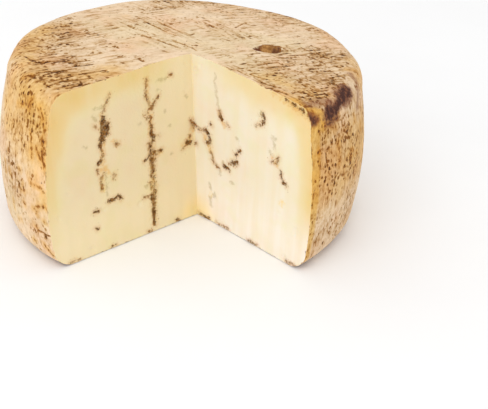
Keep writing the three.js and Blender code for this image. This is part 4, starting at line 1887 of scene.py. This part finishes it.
@dataclass(frozen=True)
class PasteFinish:
    """Soft waxy paste: pale at heart, yellow towards the rind, with brown veins."""

    heart: Colour = paint(236, 226, 205)
    # Painted shade and warm bounced light: the left cut's paste, darker and yellower than the right's
    dry_heart: Colour = paint(231, 212, 173)
    cream: Colour = paint(232, 214, 168)
    rim: Colour = paint(231, 202, 140)
    deep_rim: Colour = paint(230, 188, 112)
    amber: Colour = paint(222, 170, 86)
    gold: Colour = paint(240, 206, 100)
    wash: Colour = paint(206, 154, 84)
    green: Colour = paint(176, 154, 100)
    brown: Colour = paint(152, 102, 42)
    dark: Colour = paint(76, 46, 14)
    crust: Colour = paint(120, 82, 48)
    # Painted light: paste brightened low down on both cuts, and near the left cut's knife line
    lit_dry: Colour = paint(240, 222, 182)
    lit_moist: Colour = paint(246, 237, 226)
    # Painted glow at the foot of the knife line
    corner: Colour = paint(254, 228, 164)
    blush_tint: Colour = paint(255, 249, 248)
    leafy_tint: Colour = paint(251, 254, 240)

    def ground(self, bench: Bench) -> Value:
        """The paste between its veins, yellower towards the rind, with painted shade on the left cut, and
        painted light low down, by the knife line and at its foot.

        Args:
            bench: Where the nodes are made.

        Returns:
            Its colour.
        """
        warmth = bench.fact("warmth") + bench.sway(18.0, 3.0, 0.4)
        shaded_cut = bench.fact("shaded_cut")
        # Painted shade: the left cut's paste is darker and yellower than the right's
        colour = bench.plain(self.heart).mixed(shaded_cut, self.dry_heart)
        colour = colour.mixed(warmth.ease(0.0, 0.55), self.cream)
        colour = colour.mixed(warmth.ease(0.3, 1.0), self.rim).mixed(warmth.ease(0.9, 1.5), self.deep_rim)
        # Painted light: both cuts are brightened low down, the left one also near the knife line
        low = bench.height().ease(45.0, 8.0)
        colour = colour.mixed((low | bench.fact("lit_near_knife")) * shaded_cut * 0.9, self.lit_dry)
        colour = colour.mixed(low * bench.sum("SUBTRACT", 1.0, shaded_cut) * 0.9, self.lit_moist)
        # Painted glow at the foot of the knife line
        colour = colour.mixed(bench.fact("corner") * 0.85, self.corner)
        blush = bench.grain(21.0, 2.0).ease(0.5, 0.72)
        leafy = bench.grain(15.0, 2.0, at=bench.spot.moved(40.0, 9.0, 3.0)).ease(0.5, 0.72)
        colour = colour.tinted(blush * 0.7, self.blush_tint).tinted(leafy * 0.7, self.leafy_tint)
        band = bench.grain((7.0, 7.0, 90.0), 2.0).ease(0.35, 0.7)
        return colour.mixed(band * 0.35, self.cream)

    def material(self) -> bpy.types.Material:
        """The finish as a material.

        Returns:
            The material.
        """
        bench = Bench("paste")
        ragged = bench.sway(2.1, 3.0, 4.0, 0.6) + bench.sway(0.7, 2.0, 2.2)
        gaps = {ink: bench.fact(ink) + ragged for ink in Ink}
        nearest = gaps[BROWN] & gaps[DARK]

        # Stains beside the veins
        patchy = bench.between(bench.grain(2.4, 3.0, 0.6).ease(0.4, 0.6), 0.15, 0.6)
        stain = bench.plain(self.amber).mixed(bench.height().ease(52.0, 34.0), self.gold)
        colour = self.ground(bench).mixed(gaps[AMBER].ease(1.6, -1.4) * patchy, stain)
        colour = colour.mixed(nearest.ease(2.9, -0.3) * 0.36, self.wash)
        colour = colour.mixed(gaps[GREEN].ease(1.2, -0.6) * 0.45, self.green)

        # The veins themselves, crumbly: brown with dark and pale crumbs in them
        crumb = bench.grain(0.85, 2.0)
        thick = bench.between(bench.grain(4.5, 2.0).ease(0.35, 0.6), 0.55, 0.95)
        broken = bench.grain(2.2, 2.0, at=bench.spot.moved(7.0, 3.0, 1.0)).ease(0.36, 0.5)
        brown = gaps[BROWN].ease(0.5, -0.5) * bench.between(broken, 0.25, 1.0)
        dark = gaps[DARK].ease(0.5, -0.5) * bench.between(broken, 0.7, 1.0)
        brown_tone = bench.plain(self.brown).mixed(crumb.ease(0.5, 0.62), self.dark)
        dark_tone = bench.plain(self.dark).mixed(crumb.ease(0.46, 0.62), self.brown)
        colour = colour.mixed(brown * thick, brown_tone).mixed(dark * 0.95, dark_tone)

        # Loose crumbs beside them, and broken crust along the edges
        stray = bench.total((bench.grain(1.1, 1.0), 1.0), (nearest, -0.045))
        colour = colour.mixed(stray.ease(0.60, 0.68) * 0.6, self.brown)
        crust = bench.total((bench.fact("depth"), 1.0), (bench.sway(2.4, 3.0, 1.0), 4.0))
        colour = colour.mixed(crust.ease(0.0, -0.5) * 0.7, self.crust)

        height = bench.total((bench.grain(1.4, 3.0), 0.1), (dark, -0.25), (brown, -0.2))
        wax = {"Subsurface_Weight": 0.2, "Subsurface_Radius": (1.0, 0.6, 0.3), "Subsurface_Scale": 1.6 * MM}
        bench.finish(colour, bench.between(brown | dark, 0.5, 0.85), height, Specular_IOR_Level=0.25, **wax)
        return bench.material


# ---- The wheel ----------------------------------------------------------------------------------


def set_out(name: str, data: bpy.types.ID) -> bpy.types.Object:
    """A new object in the scene.

    Args:
        name: Its name.
        data: Its mesh, lamp or camera.

    Returns:
        The object.
    """
    made = bpy.data.objects.new(name, data)
    bpy.context.scene.collection.objects.link(made)
    return made


@dataclass
class CheeseWheel:
    """The wheel itself: one closed mesh, dressed in rind and paste."""

    drum: Drum = field(default_factory=Drum)
    notch: Notch = field(default_factory=Notch)
    dimple: Dimple = field(default_factory=Dimple)
    relief: Relief = field(default_factory=Relief)
    rind: RindFinish = field(default_factory=RindFinish)
    paste: PasteFinish = field(default_factory=PasteFinish)

    def sculpt(self, survey: Survey, rind_faces: Array, cut_faces: Array) -> Array:
        """Sinks the relief into the plain form.

        Args:
            survey: What the points know.
            rind_faces: The triangles of crown, band and base.
            cut_faces: The triangles of the two cuts.

        Returns:
            The points' final places, in millimetres.
        """
        points = survey.skin.points
        rind_normals = patch_normals(points, rind_faces)
        cut_normals = patch_normals(points, cut_faces)
        rind_step = -rind_normals * self.relief.of_rind(survey)[:, None]
        on_top = survey.is_rind & (points[:, 2] > self.drum.rim_height)
        rind_step[:, 2] -= np.where(on_top, self.dimple.sink(points), 0)
        both = survey.is_rind & survey.is_cut
        # The cut's edge moves only within the cut, so that the cut stays flat there
        within = (rind_step * cut_normals).sum(axis=1)[:, None] * cut_normals
        rind_step[both] -= within[both]
        cut_only = survey.is_cut & ~survey.is_rind
        cut_only[survey.skin.knife.ids] = False
        cut_step = -cut_normals * self.relief.of_paste(survey)[:, None]
        steps = np.where(survey.is_rind[:, None], rind_step, 0) + np.where(cut_only[:, None], cut_step, 0)
        moved = points + steps
        moved[:, 2] = np.maximum(moved[:, 2], 0)
        return moved

    def build(self) -> bpy.types.Object:
        """Makes the mesh, gives it its finishes and sets it in the frame.

        Returns:
            The wheel's object.
        """
        marks = [mark.laid(self.drum) for mark in TOP_STROKES + SIDE_STROKES + CLOUDS]
        skin = Skin(self.drum, self.notch, self.dimple, LEFT_VEINS + RIGHT_VEINS, marks)
        survey = Survey(skin)
        faces = {patch.stretch: patch.triangles() for patch in skin.patches}
        rind_faces = np.vstack([f for stretch, f in faces.items() if not stretch.side])
        cut_faces = np.vstack([f for stretch, f in faces.items() if stretch.side])
        points = self.sculpt(survey, rind_faces, cut_faces)
        mesh = bpy.data.meshes.new("wheel")
        mesh.from_pydata((points * MM).tolist(), [], np.vstack([rind_faces, cut_faces]).tolist())
        mesh.materials.append(self.rind.material())
        mesh.materials.append(self.paste.material())
        which = np.repeat([0, 1], [len(rind_faces), len(cut_faces)])
        mesh.polygons.foreach_set("material_index", which.astype(np.int32))
        self.smooth(mesh, survey)
        for name, values in survey.facts.items():
            layer = mesh.attributes.new(name, "FLOAT", "POINT")
            layer.data.foreach_set("value", values.astype(np.float32))
        layer = mesh.attributes.new("layout", "FLOAT_VECTOR", "POINT")
        layer.data.foreach_set("vector", survey.layout.astype(np.float32).ravel())
        wheel = set_out("wheel", mesh)
        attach(wheel, "root")
        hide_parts(NODE)
        log.info("wheel: %d points, %d triangles", len(points), len(mesh.polygons))
        return wheel

    def smooth(self, mesh: bpy.types.Mesh, survey: Survey) -> None:
        """Shades the surface smooth, but for the edges that the knife left.

        Args:
            mesh: The wheel's mesh.
            survey: What its points know.
        """
        mesh.shade_smooth()
        ends = np.zeros(len(mesh.edges) * 2, np.int32)
        mesh.edges.foreach_get("vertices", ends)
        ends = ends.reshape(-1, 2)
        both = survey.is_rind & survey.is_cut
        on_tip = np.zeros(len(both), bool)
        on_tip[survey.skin.knife.ids] = True
        sharp = both[ends].all(axis=1) | on_tip[ends].all(axis=1)
        mesh.edges.foreach_set("use_edge_sharp", sharp)
        mesh.update()
        mesh.validate()


# ---- The studio ---------------------------------------------------------------------------------


@dataclass(frozen=True)
class Studio:
    """A plain white floor, soft light from the upper left, and the camera."""

    floor_size: float = 4.0
    floor_colour: Colour = paint(250, 250, 250)
    floor_shade: Colour = paint(246, 246, 246)
    sky_strength: float = 0.95
    lens: float = 71.06
    sensor: float = 36.0
    floor_drop: float = 0.0002
    floor_roughness: float = 0.9
    floor_cloud: float = 90.0
    lamp_place: Triple = (-0.62, -1.15, 1.1)
    lamp_aim: Triple = (0.0, 0.0, 0.05)
    lamp_size: float = 1.1
    lamp_power: float = 7.4
    target: Triple = (37.4, 0.0, 0.0)
    distance: float = 583.8
    elevation: float = math.radians(29.27)
    roll: float = math.radians(4.57)

    def lay_floor(self) -> None:
        """The floor that the wheel stands on."""
        half = self.floor_size / 2
        corners = [(x * half, y * half, 0) for x, y in ((-1, -1), (1, -1), (1, 1), (-1, 1))]
        mesh = bpy.data.meshes.new("floor")
        mesh.from_pydata(corners, [], [(0, 1, 2, 3)])
        bench = Bench("floor")
        tone = bench.plain(self.floor_colour).mixed(bench.grain(self.floor_cloud), self.floor_shade)
        bench.finish(tone, self.floor_roughness, 0.0)
        mesh.materials.append(bench.material)
        floor = set_out("floor", mesh)
        floor.location.z = -self.floor_drop
        log.info("floor: laid")

    def light(self) -> None:
        """An even sky, and a broad lamp at the upper left."""
        world = bpy.data.worlds.new("sky")
        world.use_nodes = True
        sky = world.node_tree.nodes["Background"]
        sky.inputs["Color"].default_value = (1, 1, 1, 1)
        sky.inputs["Strength"].default_value = self.sky_strength
        bpy.context.scene.world = world
        self.hang_lamp()

    def hang_lamp(self) -> None:
        """A square soft lamp that looks at the wheel."""
        data = bpy.data.lights.new("key", "AREA")
        data.size = self.lamp_size
        data.energy = self.lamp_power
        lamp = set_out("key", data)
        lamp.location = self.lamp_place
        aim = Vector(self.lamp_aim) - lamp.location
        lamp.rotation_euler = aim.to_track_quat("-Z", "Y").to_euler()
        log.info("lamp: hung")

    def set_camera(self) -> None:
        """The camera, from the notch's side and above, held a little off level."""
        back = Vector((0, -math.cos(self.elevation), math.sin(self.elevation)))
        right = Vector((1, 0, 0))
        up = back.cross(right)
        across = math.cos(self.roll) * right + math.sin(self.roll) * up
        above = -math.sin(self.roll) * right + math.cos(self.roll) * up
        data = bpy.data.cameras.new("camera")
        data.lens = self.lens
        data.sensor_width = self.sensor
        camera = set_out("camera", data)
        turned = Matrix((across, above, back)).transposed().to_4x4()
        where = (Vector(self.target) + back * self.distance) * MM
        camera.matrix_world = Matrix.Translation(where) @ turned
        bpy.context.scene.camera = camera
        log.info("camera: set")

    def build(self) -> None:
        """Sets up the whole studio."""
        self.lay_floor()
        self.light()
        self.set_camera()
        bpy.context.scene.view_settings.view_transform = "Standard"


def note_sizes() -> None:
    """Updates the view layer."""
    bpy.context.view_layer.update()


def main() -> None:
    """Builds the wheel and the studio, and reports each piece."""
    logging.basicConfig(level=logging.INFO, format="%(message)s")
    Studio().build()
    CheeseWheel().build()
    note_sizes()


if __name__ == "__main__":
    main()
